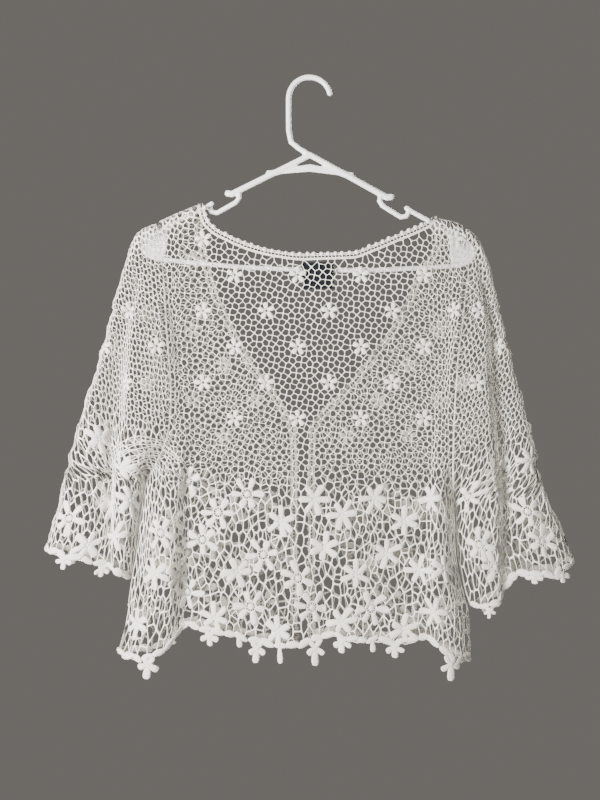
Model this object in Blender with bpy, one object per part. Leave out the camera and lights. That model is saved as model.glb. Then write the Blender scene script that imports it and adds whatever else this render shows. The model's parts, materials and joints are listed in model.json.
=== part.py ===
"""A crochet lace cardigan on a plastic hanger, as solids.

Metres, +Z up. The origin is the inside top of the hanger's hook, where a rail carries it.
The cardigan hangs with its back towards -Y (the near sheet) and its open fronts towards +Y
(the far sheet). Both sheets meet in the seam plane, y = 0, at the shoulders and the sides.
Every size and table below is in millimetres.
"""

import math

import bpy
import numpy as np
from mathutils import Matrix, Vector
from mathutils.geometry import delaunay_2d_cdt

MM = 0.001

# Cloth
WALL = 2.0              # thickness of the crochet cloth
SEAM_GAP = 0.5          # pieces are parted by about this much at a seam
REST_DEPTH = 11.0       # how far a flat stretch of cloth stands off the seam plane
SHOULDER_ROUND = 14.0   # height over which the cloth rolls over the shoulder
FAR_SHARE = 0.25        # folds of the far sheet, next to the wall, as a share of the near ones
MIDDLE_WAVE = 4.0       # depth of the shallow waves across the middle, at the hem
WAVE_PITCH = 78.0
WAVE_CREST_X = 54.0
WAVE_START_Z, WAVE_FULL_Z = -430.0, -640.0
SLOPE_STEP = 1.5        # the cloth's slope is taken over twice this length

# Lace
MOTIF_PITCH = 62.0      # from one large flower to the next along a row
ROWS_ABOVE_HEM = (22.0, 84.0, 156.0)   # centres of the three rows of large flowers
FLOWER_AT_BACK = (-36.0, -518.0)       # one flower's centre, which sets the others
GAP_SIZE = (9.5, 19.0)  # the largest gaps of the mesh, upright between the flowers
HEM_GAP_SIZE = (7.5, 9.0)
HEM_GAP_RISE = 14.0
GAP_STRAND = 3.4        # cloth left between two gaps side by side
BORDER_SEAM_Z = -446.0  # where the back's flowered border is joined to its net
GAP_SHARE = 0.31        # a gap's place between two rows, as a share of their distance
EDGE_MARGIN = 7.0       # cloth kept between a gap and the edge of its piece

# Mesh spacing
OUTLINE_STEP = 14.0
FOLD_STEP = 24.0        # along the straight folds and side edges
BODY_STEPS = (11.0, 26.0)     # spacing of the inner points, across and along the folds
SLEEVE_STEPS = (8.5, 19.0)
POINT_CLEARANCE = 5.0   # of inner points from a piece's outline, less in the shoulder's roll
ROLL_CLEARANCE = 1.5
GAP_CLEARANCE = 2.5
NEAR_END = 3.0          # points of an edge closer than this to its end are left out
SHOULDER_ROWS = (2.5, 8.0, 15.0)       # rows of points below the shoulder line
ROLL_REACH = 60.0       # the shoulder line slopes down by this much from neck to sleeve

# Edging of the neck and the fronts
EDGING_WIDTH = 7.0
PICOT_PITCH = 8.4
PICOT_NOTCH = 3.0       # depth of the notch between two picots
EDGING_WALL = 2.6

# Neck label, sewn inside the back
LABEL_SIZE = (38.0, 32.0)
LABEL_CENTRE = (9.5, -236.0)
LABEL_WALL = 1.0
LABEL_GAP = 0.3

# Hanger
TUBE_SIDES = 10
TUBE_STEP = 14.0
END_REACH, END_SIZE = 0.6, 0.55        # a tube's blunt end: its length and its size
HOOK_TUBE = (3.4, 3.4)  # half height and half depth of each tube's section
ARM_TUBE = (4.1, 3.5)
NOTCH_TUBE = (3.2, 3.2)
BAR_TUBE = (3.0, 3.0)
HOOK_RADIUS = 25.0      # centre line of the hook's round
HOOK_OPEN_DEGREES = 12.0
HOOK_STEPS = 14
HANGER_TILT_DEGREES = 1.3
HANGER_MIDDLE_X = 2.5
WEB_THICKNESS = 3.0

SHARP_DEGREES = 50.0
COLOURS = {
    "lace": (0.83, 0.82, 0.78, 1.0),
    "edging": (0.86, 0.85, 0.81, 1.0),
    "hanger": (0.88, 0.88, 0.89, 1.0),
    "label": (0.02, 0.03, 0.05, 1.0),
}
ROUGHNESS = {"lace": 0.85, "edging": 0.8, "hanger": 0.3, "label": 0.7}


def table(columns, *rows):
    """The rows as one array for each named column."""
    return dict(zip(columns.split(), np.array(rows, float).T))


# Sections of the hanging garment, a row for each level. Columns are distances out from x = 0:
# edge is the sleeve's outer fold, then its outer ridge, valley and inner ridge, the parting
# between sleeve and body, the bulge of the body's side, and its foot where the flat begins.
# A column d_... is how deep the cloth stands there; 0 closes the fold in the seam plane.
SECTION_COLUMNS = (
    "z edge ridge_out valley ridge_in gap_sleeve gap_body bulge foot"
    " d_out d_valley d_in d_gap d_bulge"
)
LEFT = table(
    SECTION_COLUMNS,
    (-150, 222, 206, 200, 182, 172, 172, 160, 140, 11, 11, 11, 11, 11),
    (-200, 217, 205, 200, 186, 176, 176, 165, 150, 12, 12, 13, 12, 12),
    (-250, 230, 214, 206, 188, 174, 174, 164, 150, 18, 15, 22, 19, 14),
    (-320, 247, 236, 226, 188, 168, 168, 156, 142, 22, 14, 30, 26, 15),
    (-400, 272, 254, 232, 190, 165, 164, 150, 136, 25, 13, 33, 25, 17),
    (-455, 288, 264, 235, 205, 182, 180, 158, 140, 26, 13, 31, 13, 24),
    (-480, 294, 268, 236, 216, 198, 194, 167, 145, 26, 12, 27, 0, 28),
    (-528, 306, 276, 237, 220, 207, 201, 172, 146, 25, 12, 22, 0, 33),
    (-570, 319, 280, 238, 226, 213, 206, 174, 146, 24, 12, 18, 0, 33),
    (-605, 325, 282, 240, 230, 218, 213, 177, 147, 24, 12, 16, 0, 32),
    (-660, 330, 286, 246, 236, 227, 221, 184, 150, 24, 12, 16, 0, 30),
    (-700, 334, 290, 252, 246, 240, 234, 196, 160, 24, 12, 16, 0, 28),
    (-745, 334, 290, 254, 248, 242, 236, 198, 162, 24, 12, 16, 0, 28),
)
RIGHT = table(
    SECTION_COLUMNS,
    (-150, 218, 206, 198, 186, 172, 172, 160, 140, 11, 11, 11, 11, 11),
    (-200, 211, 202, 196, 188, 176, 176, 162, 146, 12, 12, 13, 12, 12),
    (-250, 221, 211, 205, 190, 177, 177, 164, 150, 17, 15, 22, 18, 13),
    (-300, 232, 223, 216, 192, 172, 172, 162, 148, 20, 14, 29, 26, 14),
    (-360, 247, 233, 219, 188, 166, 166, 156, 146, 23, 13, 33, 30, 16),
    (-430, 266, 246, 225, 190, 166, 166, 154, 144, 25, 12, 33, 24, 20),
    (-480, 276, 252, 228, 196, 171, 169, 152, 140, 25, 12, 31, 10, 24),
    (-504, 286, 258, 229, 200, 176, 172, 150, 138, 25, 12, 28, 0, 26),
    (-571, 313, 272, 230, 205, 180, 173, 150, 134, 24, 12, 25, 0, 28),
    (-608, 321, 276, 231, 210, 187, 180, 152, 132, 24, 12, 23, 0, 28),
    (-646, 326, 280, 233, 215, 199, 191, 157, 134, 24, 12, 22, 0, 27),
    (-702, 330, 284, 240, 224, 206, 193, 162, 138, 24, 12, 22, 0, 26),
    (-745, 330, 284, 240, 226, 208, 194, 164, 140, 24, 12, 22, 0, 26),
)

# The shoulder line, seen from the front. Between the necks it only bounds the roll.
CREST = table(
    "x z",
    (-217, -204), (-214, -197), (-205, -183), (-178, -169), (-156, -159), (-134, -150),
    (-126, -147), (-100, -120), (0, -100), (120, -120), (136, -152), (144, -163.5),
    (156, -167), (172, -170.5), (192, -182), (204, -197), (211, -214),
)
# Rows are points along each line. The seams start on the shoulder line.
NECKLINE = table(
    "x z",
    (-126, -147), (-123, -166), (-114, -178), (-98, -187), (-67, -200), (-36, -207),
    (-10, -210), (22, -209), (50, -208), (71, -201), (100, -189), (128, -177), (140, -170.5),
    (144, -163.5),
)
FRONT_EDGE_LEFT = table(
    "x z",
    (-126, -147), (-130, -178), (-124, -211), (-114, -248), (-102, -276), (-86, -308),
    (-68, -341), (-47, -366), (-30, -394), (-17, -420), (-15, -470), (-15, -560), (-15, -678),
)
FRONT_EDGE_RIGHT = table(
    "x z",
    (144, -163.5), (152, -192), (140, -217), (127, -240), (118, -262), (104, -290),
    (83, -318), (61, -347), (38, -374), (16, -396), (0, -420), (-2, -470), (-2, -560),
    (-2, -674),
)
ARMHOLE_LEFT = table(
    "x z",
    (-182, -171), (-175, -218), (-168, -300), (-163, -384), (-166, -420), (-180, -456),
    (-195, -480),
)
ARMHOLE_RIGHT = table(
    "x z",
    (185, -177), (187, -218), (179, -288), (171, -348), (168, -420), (169, -468), (173, -504),
)
HEM = table(
    "x z",
    (-229, -688), (-205, -690), (-168, -678), (-149, -652), (-132, -658), (-90, -665),
    (-68, -672), (-36, -678), (-12, -678), (14, -667), (30, -665), (52, -672), (85, -672),
    (118, -675), (133, -666), (156, -679), (176, -694), (193, -696),
)
CUFF_LEFT = table(
    "x z",
    (-319, -562), (-306, -565), (-295, -568), (-272, -574), (-252, -580), (-236, -585),
    (-218, -599),
)
CUFF_RIGHT = table(
    "x z",
    (193, -632), (210, -631), (222, -624), (232, -609), (240, -596), (256, -591), (280, -593),
    (304, -585), (315, -577),
)
# Petals hung from the hem and the cuffs that show: where, how broad, how far down.
PETALS_BACK = table(
    "x half_width drop",
    (-189, 16, 30), (-119, 14, 20), (-85, 5, 15), (-63, 14, 30), (-36, 5, 24), (6, 15, 38),
    (38, 14, 22), (74, 5, 15), (101, 14, 22), (165, 15, 34),
)
PETALS_CUFF_LEFT = table("x half_width drop", (-289, 12, 18), (-246, 12, 16))
PETALS_CUFF_RIGHT = table(
    "x half_width drop", (211, 8, 14), (263, 12, 12), (296, 12, 14),
)
# Half a petal's outline as shares of its half width and its drop.
TREFOIL = ((0.65, 0.0), (1.0, 0.25), (0.98, 0.52), (0.62, 0.55), (0.32, 0.4), (0.3, 0.85),
           (0.0, 1.0))
SINGLE_PETAL = ((0.8, 0.0), (1.0, 0.6), (0.0, 1.0))
TREFOIL_HALF_WIDTH = 7.0   # a petal broader than this has three lobes

# Half of the hanger, from its middle outwards.
HANGER_NECK = ((-25.2, -22), (-24, -62), (-21, -75), (-10.5, -83), (0, -89))
HANGER_ARM = ((0, -90), (93, -139), (99, -138))
HANGER_NOTCH = ((86, -136), (84, -143), (88, -149), (110, -162), (117, -161), (120, -154))
HANGER_RIM = ((116, -150.5), (122, -154.5), (192, -191), (199, -197), (200, -206), (194, -214),
              (182, -218.5), (150, -221.5), (80, -226.5), (0, -228))
HANGER_WEB = ((-52, -110), (-26, -106), (0, -101), (26, -106), (52, -110), (55, -121), (34, -113.5),
              (0, -110), (-34, -113.5), (-55, -121))
HANGER_END = ((163, -176.5), (192, -191.5), (198.5, -198), (199.5, -206), (193.5, -213.5), (182, -218),
              (174, -219), (171, -212), (169.5, -204), (169.5, -196), (169, -189), (167, -182))


def eased(at, xs, ys):
    """A smooth curve through the points (xs, ys), with no overshoot, read at these places."""
    if xs[0] > xs[-1]:
        xs, ys = xs[::-1], ys[::-1]
    step = np.diff(xs)
    slope = np.diff(ys) / step
    before, after = slope[:-1], slope[1:]
    same = before * after > 0
    total = np.where(same, before + after, 1.0)
    inner = np.where(same, 2 * before * after / total, 0.0)
    tangent = np.concatenate([slope[:1], inner, slope[-1:]])
    i = np.clip(np.searchsorted(xs, at) - 1, 0, len(xs) - 2)
    t = np.clip((at - xs[i]) / step[i], 0, 1)
    return (
        ys[i] * (1 + 2 * t) * (1 - t) ** 2
        + tangent[i] * step[i] * t * (1 - t) ** 2
        + ys[i + 1] * t * t * (3 - 2 * t)
        - tangent[i + 1] * step[i] * t * t * (1 - t)
    )


def share_of(value, start, end):
    """0 at start, 1 at end."""
    return np.clip((value - start) / (end - start), 0, 1)


def soft(t):
    return t * t * (3 - 2 * t)


def rounded(t):
    """A quarter of an ellipse: it leaves 0 upright and arrives at 1 level."""
    return np.sqrt(np.clip(1 - (1 - t) ** 2, 0, 1))


def middle_depth(x, z):
    """The back and fronts between the side folds: flat, with shallow waves towards the hem."""
    wave = 0.5 + 0.5 * np.cos(2 * math.pi * (x - WAVE_CREST_X) / WAVE_PITCH)
    return REST_DEPTH + MIDDLE_WAVE * soft(share_of(z, WAVE_START_Z, WAVE_FULL_Z)) * wave


def side_depth(r, z, middle, side):
    """Depth at distance r out from the middle, on the side that the table describes."""
    at = {name: eased(z, side["z"], side[name]) for name in side if name != "z"}
    notch = 1 - np.clip(at["d_gap"] / REST_DEPTH, 0, 1)

    def towards_gap(t):
        return (1 - notch) * soft(t) + notch * np.sin(math.pi / 2 * t)

    rise_body = towards_gap(share_of(r, at["gap_body"], at["bulge"]))
    rise_sleeve = towards_gap(share_of(r, at["gap_sleeve"], at["ridge_in"]))
    inner = soft(share_of(r, at["ridge_in"], at["valley"]))
    outer = soft(share_of(r, at["valley"], at["ridge_out"]))
    deep = middle + (at["d_bulge"] - middle) * soft(share_of(r, at["foot"], at["bulge"]))
    for start, value in (
        ("bulge", at["d_gap"] + (at["d_bulge"] - at["d_gap"]) * rise_body),
        ("gap_sleeve", at["d_gap"] + (at["d_in"] - at["d_gap"]) * rise_sleeve),
        ("ridge_in", at["d_in"] + (at["d_valley"] - at["d_in"]) * inner),
        ("valley", at["d_valley"] + (at["d_out"] - at["d_valley"]) * outer),
        ("ridge_out", at["d_out"] * rounded(share_of(r, at["edge"], at["ridge_out"]))),
    ):
        deep = np.where(r > at[start], value, deep)
    return deep


def depth(x, z, share):
    """How far a sheet stands off the seam plane. Share is how much of the folds it has."""
    middle = middle_depth(x, z)
    deep = np.where(x < 0, side_depth(-x, z, middle, LEFT), side_depth(x, z, middle, RIGHT))
    deep = np.where(deep > REST_DEPTH, REST_DEPTH + share * (deep - REST_DEPTH), deep)
    crest = eased(x, CREST["x"], CREST["z"])
    return deep * rounded(np.clip((crest - z) / SHOULDER_ROUND, 0, 1))


class Sheet:
    """The near or the far sheet, with cloth lengths measured along each level."""

    XS = np.arange(-345.0, 345.0, 0.25)
    ZS = np.arange(-744.0, -96.0, 4.0)

    def __init__(self, facing, share):
        self.facing, self.share = facing, share
        deep = depth(self.XS[None, :], self.ZS[:, None], share)
        steps = np.hypot(np.diff(self.XS)[None, :], np.diff(deep, axis=1))
        start = np.zeros((len(self.ZS), 1))
        self.run = np.concatenate([start, np.cumsum(steps, axis=1)], axis=1)
        self.run -= self.run[:, [len(self.XS) // 2]]

    def level(self, z):
        place = np.clip((z - self.ZS[0]) / (self.ZS[1] - self.ZS[0]), 0, len(self.ZS) - 1.001)
        return int(place), place - int(place)

    def length_to(self, x, z):
        """Cloth length along the level from the middle out to x."""
        k, f = self.level(z)
        lower = np.interp(x, self.XS, self.run[k])
        return (1 - f) * lower + f * np.interp(x, self.XS, self.run[k + 1])

    def x_at(self, length, z):
        """The other way round: x at this cloth length from the middle."""
        k, f = self.level(z)
        lower = np.interp(length, self.run[k], self.XS)
        return (1 - f) * lower + f * np.interp(length, self.run[k + 1], self.XS)

    def flat(self, line):
        """A line of (x, z) as (cloth length, z)."""
        return [(float(self.length_to(x, z)), float(z)) for x, z in line]

    def placed(self, x, z, lift):
        """Points of the sheet moved out of its surface by lift, kept on its side of y = 0."""
        step = SLOPE_STEP
        slope_x = (depth(x + step, z, self.share) - depth(x - step, z, self.share)) / 2 / step
        slope_z = (depth(x, z + step, self.share) - depth(x, z - step, self.share)) / 2 / step
        size = lift / np.sqrt(1 + slope_x**2 + slope_z**2)
        y = np.maximum(depth(x, z, self.share) + size, SEAM_GAP / 2)
        return np.stack([x - slope_x * size, self.facing * y, z - slope_z * size], axis=1) * MM


def along_curve(curve, step=OUTLINE_STEP):
    """Points about step apart along a smooth curve through a table's rows."""
    xs, zs = curve["x"], curve["z"]
    run = np.concatenate([[0], np.cumsum(np.hypot(np.diff(xs), np.diff(zs)))])
    at = np.linspace(0, run[-1], max(2, round(run[-1] / step) + 1))
    return list(zip(eased(at, run, xs), eased(at, run, zs)))


def along_crest(start_x, end_x):
    xs = np.linspace(start_x, end_x, max(2, round(abs(end_x - start_x) / OUTLINE_STEP) + 1))
    return [(x, crest_z(x)) for x in xs]


def crest_z(x):
    return float(eased(np.array(x), CREST["x"], CREST["z"]))


def down_column(side, name, sign, start_z, end_z):
    """Points down one column of a section table, on the left (-1) or the right (+1)."""
    zs = np.linspace(start_z, end_z, max(2, round(abs(end_z - start_z) / FOLD_STEP) + 1))
    return [(sign * float(eased(z, side["z"], side[name])), z) for z in zs]


def offset_line(line, distance):
    """The line moved to its left by a distance, as seen going along it."""
    p = np.array(line)
    ahead = np.diff(p, axis=0)
    ahead /= np.linalg.norm(ahead, axis=1)[:, None]
    both = np.concatenate([ahead[:1], ahead[:-1] + ahead[1:], ahead[-1:]])
    both /= np.linalg.norm(both, axis=1)[:, None]
    return [tuple(q) for q in p + distance * np.stack([-both[:, 1], both[:, 0]], axis=1)]


def from_crest(line):
    """The line with its start on the shoulder line and rows of points in the roll below it."""
    x = line[0][0]
    top = crest_z(x)
    below = [0.0] + [top - z for _, z in line[1:]]
    past = next(i for i, d in enumerate(below) if d > SHOULDER_ROWS[-1] + OUTLINE_STEP / 2)
    xs = [p[0] for p in line[: past + 1]]
    rows = [(float(np.interp(d, below[: past + 1], xs)), top - d) for d in SHOULDER_ROWS]
    return [(x, top)] + rows + line[past:]


def is_inside(polygon, points):
    """Whether each point lies in a polygon, by counting crossings."""
    p = np.array(points, float).reshape(-1, 2)
    found = np.zeros(len(p), bool)
    for (x0, y0), (x1, y1) in zip(polygon, polygon[1:] + polygon[:1]):
        if y0 == y1:
            continue
        spans = (y0 > p[:, 1]) != (y1 > p[:, 1])
        found ^= spans & (p[:, 0] < x0 + (x1 - x0) * (p[:, 1] - y0) / (y1 - y0))
    return found


def clearance(polygon, points):
    """Each point's distance to a polygon's outline."""
    p = np.array(points, float).reshape(-1, 1, 2)
    a = np.array(polygon)[None]
    side = np.roll(a, -1, axis=1) - a
    t = np.clip(((p - a) * side).sum(2) / np.maximum((side**2).sum(2), 1e-9), 0, 1)
    return np.linalg.norm(p - a - side * t[..., None], axis=2).min(axis=1)


def gap_outline(u, z, size):
    """An upright six-sided gap, pointed at its top and foot."""
    w, h = size[0] / 2, size[1] / 2
    corners = ((-w, -h / 2), (0, -h), (w, -h / 2), (w, h / 2), (0, h), (-w, h / 2))
    return [(u + du, z + dz) for du, dz in corners]


def lace_gaps(outline, hem, phase):
    """The largest gaps of the flowered border that keep clear of the piece's edge."""
    level = np.polyfit([u for u, _ in hem], [z for _, z in hem], 1)
    low, middle, high = ROWS_ABOVE_HEM
    beside = (GAP_SIZE[0] + GAP_STRAND) / 2
    places = []
    us = [u for u, _ in outline]
    first = math.floor((min(us) - phase) / MOTIF_PITCH)
    last = math.ceil((max(us) - phase) / MOTIF_PITCH)
    for k in range(first, last + 1):
        u = phase + k * MOTIF_PITCH
        between = u + MOTIF_PITCH / 2
        for at, rise in (
            (between, high - GAP_SHARE * (high - middle) / 2),
            (u, middle + GAP_SHARE * (high - middle) / 2),
            (u, middle - GAP_SHARE * (middle - low) / 2),
            (between, low + GAP_SHARE * (middle - low) / 2),
        ):
            places += [(at + shift, rise, GAP_SIZE) for shift in (-beside, beside)]
        places += [
            (u + shift, HEM_GAP_RISE, HEM_GAP_SIZE) for shift in (-MOTIF_PITCH / 4, MOTIF_PITCH / 4)
        ]
    gaps = []
    for u, rise, size in places:
        gap = gap_outline(u, np.polyval(level, u) + rise, size)
        if is_inside(outline, gap).all() and clearance(outline, gap).min() > EDGE_MARGIN:
            gaps.append(gap)
    return gaps


def with_petals(sheet, hem, petals):
    """The hem as (cloth length, z) with petals hung from it, left to right."""
    base = sheet.flat(hem)
    us, zs = [u for u, _ in base], [z for _, z in base]
    line = [base[0]]
    reached = base[0][0]
    for x, half_width, drop in zip(petals["x"], petals["half_width"], petals["drop"]):
        centre = float(sheet.length_to(x, np.interp(x, [p[0] for p in hem], [p[1] for p in hem])))
        shape = TREFOIL if half_width > TREFOIL_HALF_WIDTH else SINGLE_PETAL
        out = shape[0][0] * half_width
        line += [(u, z) for u, z in base[1:-1] if reached + NEAR_END < u < centre - out - NEAR_END]
        half = [(half_width * a, drop * b) for a, b in shape]
        both = [(-a, b) for a, b in half] + half[-2::-1]
        line += [(centre + a, float(np.interp(centre + a, us, zs)) - b) for a, b in both]
        reached = centre + out
    line += [(u, z) for u, z in base[1:-1] if u > reached + NEAR_END]
    return line + [base[-1]]


def inner_points(sheet, outline, gaps, crest, steps):
    """Points inside a piece, closer together across the folds than along them."""
    us, zs = [u for u, _ in outline], [z for _, z in outline]
    points = []
    for row, z in enumerate(np.arange(min(zs) + 8, max(zs), steps[1])):
        start = min(us) + (row % 2) * steps[0] / 2
        points += [(u, z) for u in np.arange(start, max(us), steps[0])]
    for below in SHOULDER_ROWS:
        points += sheet.flat([(x, z - below) for x, z in crest])
    points = np.array(points)
    keep = is_inside(outline, points)
    points = points[keep]
    in_roll = points[:, 1] > max(zs) - ROLL_REACH
    near_edge = np.where(in_roll, ROLL_CLEARANCE, POINT_CLEARANCE)
    points = points[clearance(outline, points) > near_edge]
    for gap in gaps:
        points = points[~is_inside(gap, points)]
        points = points[clearance(gap, points) > GAP_CLEARANCE]
    return [tuple(p) for p in points]


def finish(name, vertices, faces, kind):
    mesh = bpy.data.meshes.new(name)
    mesh.from_pydata([tuple(v) for v in vertices], [], faces)
    made = bpy.data.objects.new(name, mesh)
    bpy.context.scene.collection.objects.link(made)
    mesh.materials.append(material(kind))
    mesh.shade_smooth()
    mesh.set_sharp_from_angle(angle=math.radians(SHARP_DEGREES))
    return made


def material(kind):
    found = bpy.data.materials.get(kind)
    if found:
        return found
    made = bpy.data.materials.new(kind)
    made.use_nodes = True
    shader = made.node_tree.nodes["Principled BSDF"]
    shader.inputs["Base Color"].default_value = COLOURS[kind]
    shader.inputs["Roughness"].default_value = ROUGHNESS[kind]
    return made


def piece(name, sheet, outline, gaps=(), crest=(), steps=BODY_STEPS, kind="lace", wall=None):
    """One solid piece of cloth: its outline is in (cloth length, z), its gaps are cut through."""
    outside, inside = wall or (WALL / 2, -WALL / 2)
    loops = [outline] + list(gaps)
    points = [p for loop in loops for p in loop]
    edges = []
    start = 0
    for loop in loops:
        n = len(loop)
        edges += [(start + i, start + (i + 1) % n) for i in range(n)]
        start += n
    points += inner_points(sheet, outline, gaps, crest, steps)
    squash = steps[0] / steps[1]
    flat = [Vector((u, z * squash)) for u, z in points]
    made, _, triangles, *_ = delaunay_2d_cdt(flat, edges, [], 0, 1e-6)
    made = np.array([(v.x, v.y / squash) for v in made])
    centres = np.array([made[list(t)].mean(axis=0) for t in triangles])
    keep = is_inside(outline, centres)
    for gap in gaps:
        keep &= ~is_inside(gap, centres)
    triangles = [tuple(t) for t, kept in zip(triangles, keep) if kept]
    used = sorted({i for t in triangles for i in t})
    number = {old: new for new, old in enumerate(used)}
    triangles = [tuple(number[i] for i in t) for t in triangles]
    z = made[used, 1]
    x = np.array([float(sheet.x_at(u, level)) for u, level in made[used]])
    outer = sheet.placed(x, z, outside)
    inner = sheet.placed(x, z, inside)
    count = len(used)
    directed = {(t[i], t[(i + 1) % 3]) for t in triangles for i in range(3)}
    rims = [(a, b) for a, b in directed if (b, a) not in directed]
    faces = list(triangles)
    faces += [(c + count, b + count, a + count) for a, b, c in triangles]
    faces += [(b, a, a + count) for a, b in sorted(rims)]
    faces += [(b, a + count, b + count) for a, b in sorted(rims)]
    if sheet.facing > 0:
        faces = [tuple(reversed(f)) for f in faces]
    return finish(name, np.concatenate([outer, inner]), faces, kind)


def hem_between(curve, start, end):
    """The part of a hem between two places of x, with its ends on them."""
    line = along_curve(curve)
    xs, zs = [p[0] for p in line], [p[1] for p in line]
    inner = [p for p in line if start + NEAR_END < p[0] < end - NEAR_END]
    return [(start, float(np.interp(start, xs, zs)))] + inner + [(end, float(np.interp(end, xs, zs)))]


def cut_across(outline, level, above):
    """The part of an outline on one side of a level that it crosses twice."""
    kept = []
    for (u0, z0), (u1, z1) in zip(outline, outline[1:] + outline[:1]):
        if (z0 > level) == above:
            kept.append((u0, z0))
        if (z0 > level) != (z1 > level):
            kept.append((u0 + (u1 - u0) * (level - z0) / (z1 - z0), level))
    i = next(i for i, p in enumerate(kept) if p[1] == level == kept[(i + 1) % len(kept)][1])
    start, end = kept[i][0], kept[(i + 1) % len(kept)][0]
    seam = np.linspace(start, end, round(abs(end - start) / BODY_STEPS[0]) + 1)[1:-1]
    return kept[: i + 1] + [(u, level) for u in seam] + kept[i + 1 :]


def body_sides(armhole_left, armhole_right):
    """The body's left and right side lines, from the armpit to the hem."""
    left = down_column(LEFT, "gap_body", -1, armhole_left[-1][1], HEM["z"][0])
    right = down_column(RIGHT, "gap_body", 1, armhole_right[-1][1], HEM["z"][-1])
    return left[1:], right[1:]


def build_body(near, far):
    armhole_left = from_crest(along_curve(ARMHOLE_LEFT))
    armhole_right = from_crest(along_curve(ARMHOLE_RIGHT))
    side_left, side_right = body_sides(armhole_left, armhole_right)

    neck = from_crest(offset_line(along_curve(NECKLINE), -EDGING_WIDTH))
    neck = from_crest(neck[::-1])[::-1]
    crest_left = along_crest(armhole_left[0][0], neck[0][0])
    crest_right = along_crest(neck[-1][0], armhole_right[0][0])
    hem = hem_between(HEM, side_left[-1][0], side_right[-1][0])
    upper = armhole_left[::-1] + crest_left[1:] + neck[1:] + crest_right[1:] + armhole_right[1:]
    outline = near.flat(upper + side_right[:-1]) + with_petals(near, hem, PETALS_BACK)[::-1]
    outline += near.flat(side_left[-2::-1])
    phase = float(near.length_to(*FLOWER_AT_BACK))
    gaps = lace_gaps(outline, near.flat(hem), phase)
    half_gap = SEAM_GAP / 2
    piece("back", near, cut_across(outline, BORDER_SEAM_Z + half_gap, True), (),
          crest_left + crest_right)
    piece("back_border", near, cut_across(outline, BORDER_SEAM_Z - half_gap, False), gaps)

    edge = from_crest(offset_line(along_curve(FRONT_EDGE_LEFT), -EDGING_WIDTH))
    crest = along_crest(armhole_left[0][0], edge[0][0])
    hem = hem_between(HEM, side_left[-1][0], edge[-1][0])
    upper = armhole_left[::-1] + crest[1:] + edge[1:-1]
    outline = far.flat(upper) + far.flat(hem)[::-1] + far.flat(side_left[-2::-1])
    phase = float(far.length_to(*FLOWER_AT_BACK))
    piece("front_left", far, outline, lace_gaps(outline, far.flat(hem), phase), crest)

    edge = from_crest(offset_line(along_curve(FRONT_EDGE_RIGHT), EDGING_WIDTH))
    crest = along_crest(edge[0][0], armhole_right[0][0])
    hem = hem_between(HEM, edge[-1][0], side_right[-1][0])
    upper = edge[-2::-1] + crest[1:] + armhole_right[1:] + side_right[:-1]
    outline = far.flat(upper) + far.flat(hem)[::-1]
    piece("front_right", far, outline, lace_gaps(outline, far.flat(hem), phase), crest)


def build_sleeve(name, sheet, sign, cuff_curve, petals):
    side = LEFT if sign < 0 else RIGHT
    armhole = along_curve(ARMHOLE_LEFT if sign < 0 else ARMHOLE_RIGHT)
    armhole = from_crest([(x + sign * SEAM_GAP, z) for x, z in armhole])
    tip_x = sign * (-CREST["x"][0] if sign < 0 else CREST["x"][-1])
    tip_z = crest_z(tip_x)
    crest = along_crest(armhole[0][0], tip_x)
    inner_end, outer_end = (cuff_curve["z"][-1], cuff_curve["z"][0])[::-sign]
    outer = down_column(side, "edge", sign, tip_z, outer_end)
    inner = down_column(side, "gap_sleeve", sign, armhole[-1][1], inner_end)[1:]
    if sign < 0:
        hem = hem_between(cuff_curve, outer[-1][0], inner[-1][0])
        line = crest[:-1] + outer[:-1]
        outline = sheet.flat(line) + with_petals(sheet, hem, petals)
        outline += sheet.flat(inner[-2::-1] + armhole[:0:-1])
        outline = outline[::-1]
    else:
        hem = hem_between(cuff_curve, inner[-1][0], outer[-1][0])
        line = crest[:-1] + outer[:-1]
        outline = sheet.flat(line) + with_petals(sheet, hem, petals)[::-1]
        outline += sheet.flat(inner[-2::-1] + armhole[:0:-1])
    us = [u for u, _ in sheet.flat(hem)]
    gaps = lace_gaps(outline, sheet.flat(hem), (us[0] + us[-1]) / 2)
    piece(name, sheet, outline, gaps, crest, SLEEVE_STEPS)


def build_edging(name, sheet, curve, turn):
    """A band along an edge with a scalloped outer side, one scallop for each picot."""
    line = along_curve(curve, PICOT_PITCH / 2)
    outer = [
        p if i % 2 else q for i, (p, q) in enumerate(zip(line, offset_line(line, turn * PICOT_NOTCH)))
    ]
    outer[0] = (outer[0][0], crest_z(outer[0][0]))
    inner = from_crest(offset_line(along_curve(curve), turn * (EDGING_WIDTH - SEAM_GAP)))
    if curve is NECKLINE:
        outer[-1] = (outer[-1][0], crest_z(outer[-1][0]))
        inner = from_crest(inner[::-1])[::-1]
    outline = sheet.flat(outer + inner[::-1])
    if turn > 0:
        outline = outline[::-1]
    half = EDGING_WALL / 2
    piece(name, sheet, outline, kind="edging", wall=(half, -half))


def build_label(near):
    half_u, half_z = LABEL_SIZE[0] / 2, LABEL_SIZE[1] / 2
    u, z = float(near.length_to(*LABEL_CENTRE)), LABEL_CENTRE[1]
    outline = [(u + half_u, z - half_z), (u - half_u, z - half_z), (u - half_u, z + half_z),
               (u + half_u, z + half_z)][::-1]
    top = -(WALL / 2 + LABEL_GAP)
    piece("label", near, outline, kind="label", wall=(top, top - LABEL_WALL))


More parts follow.
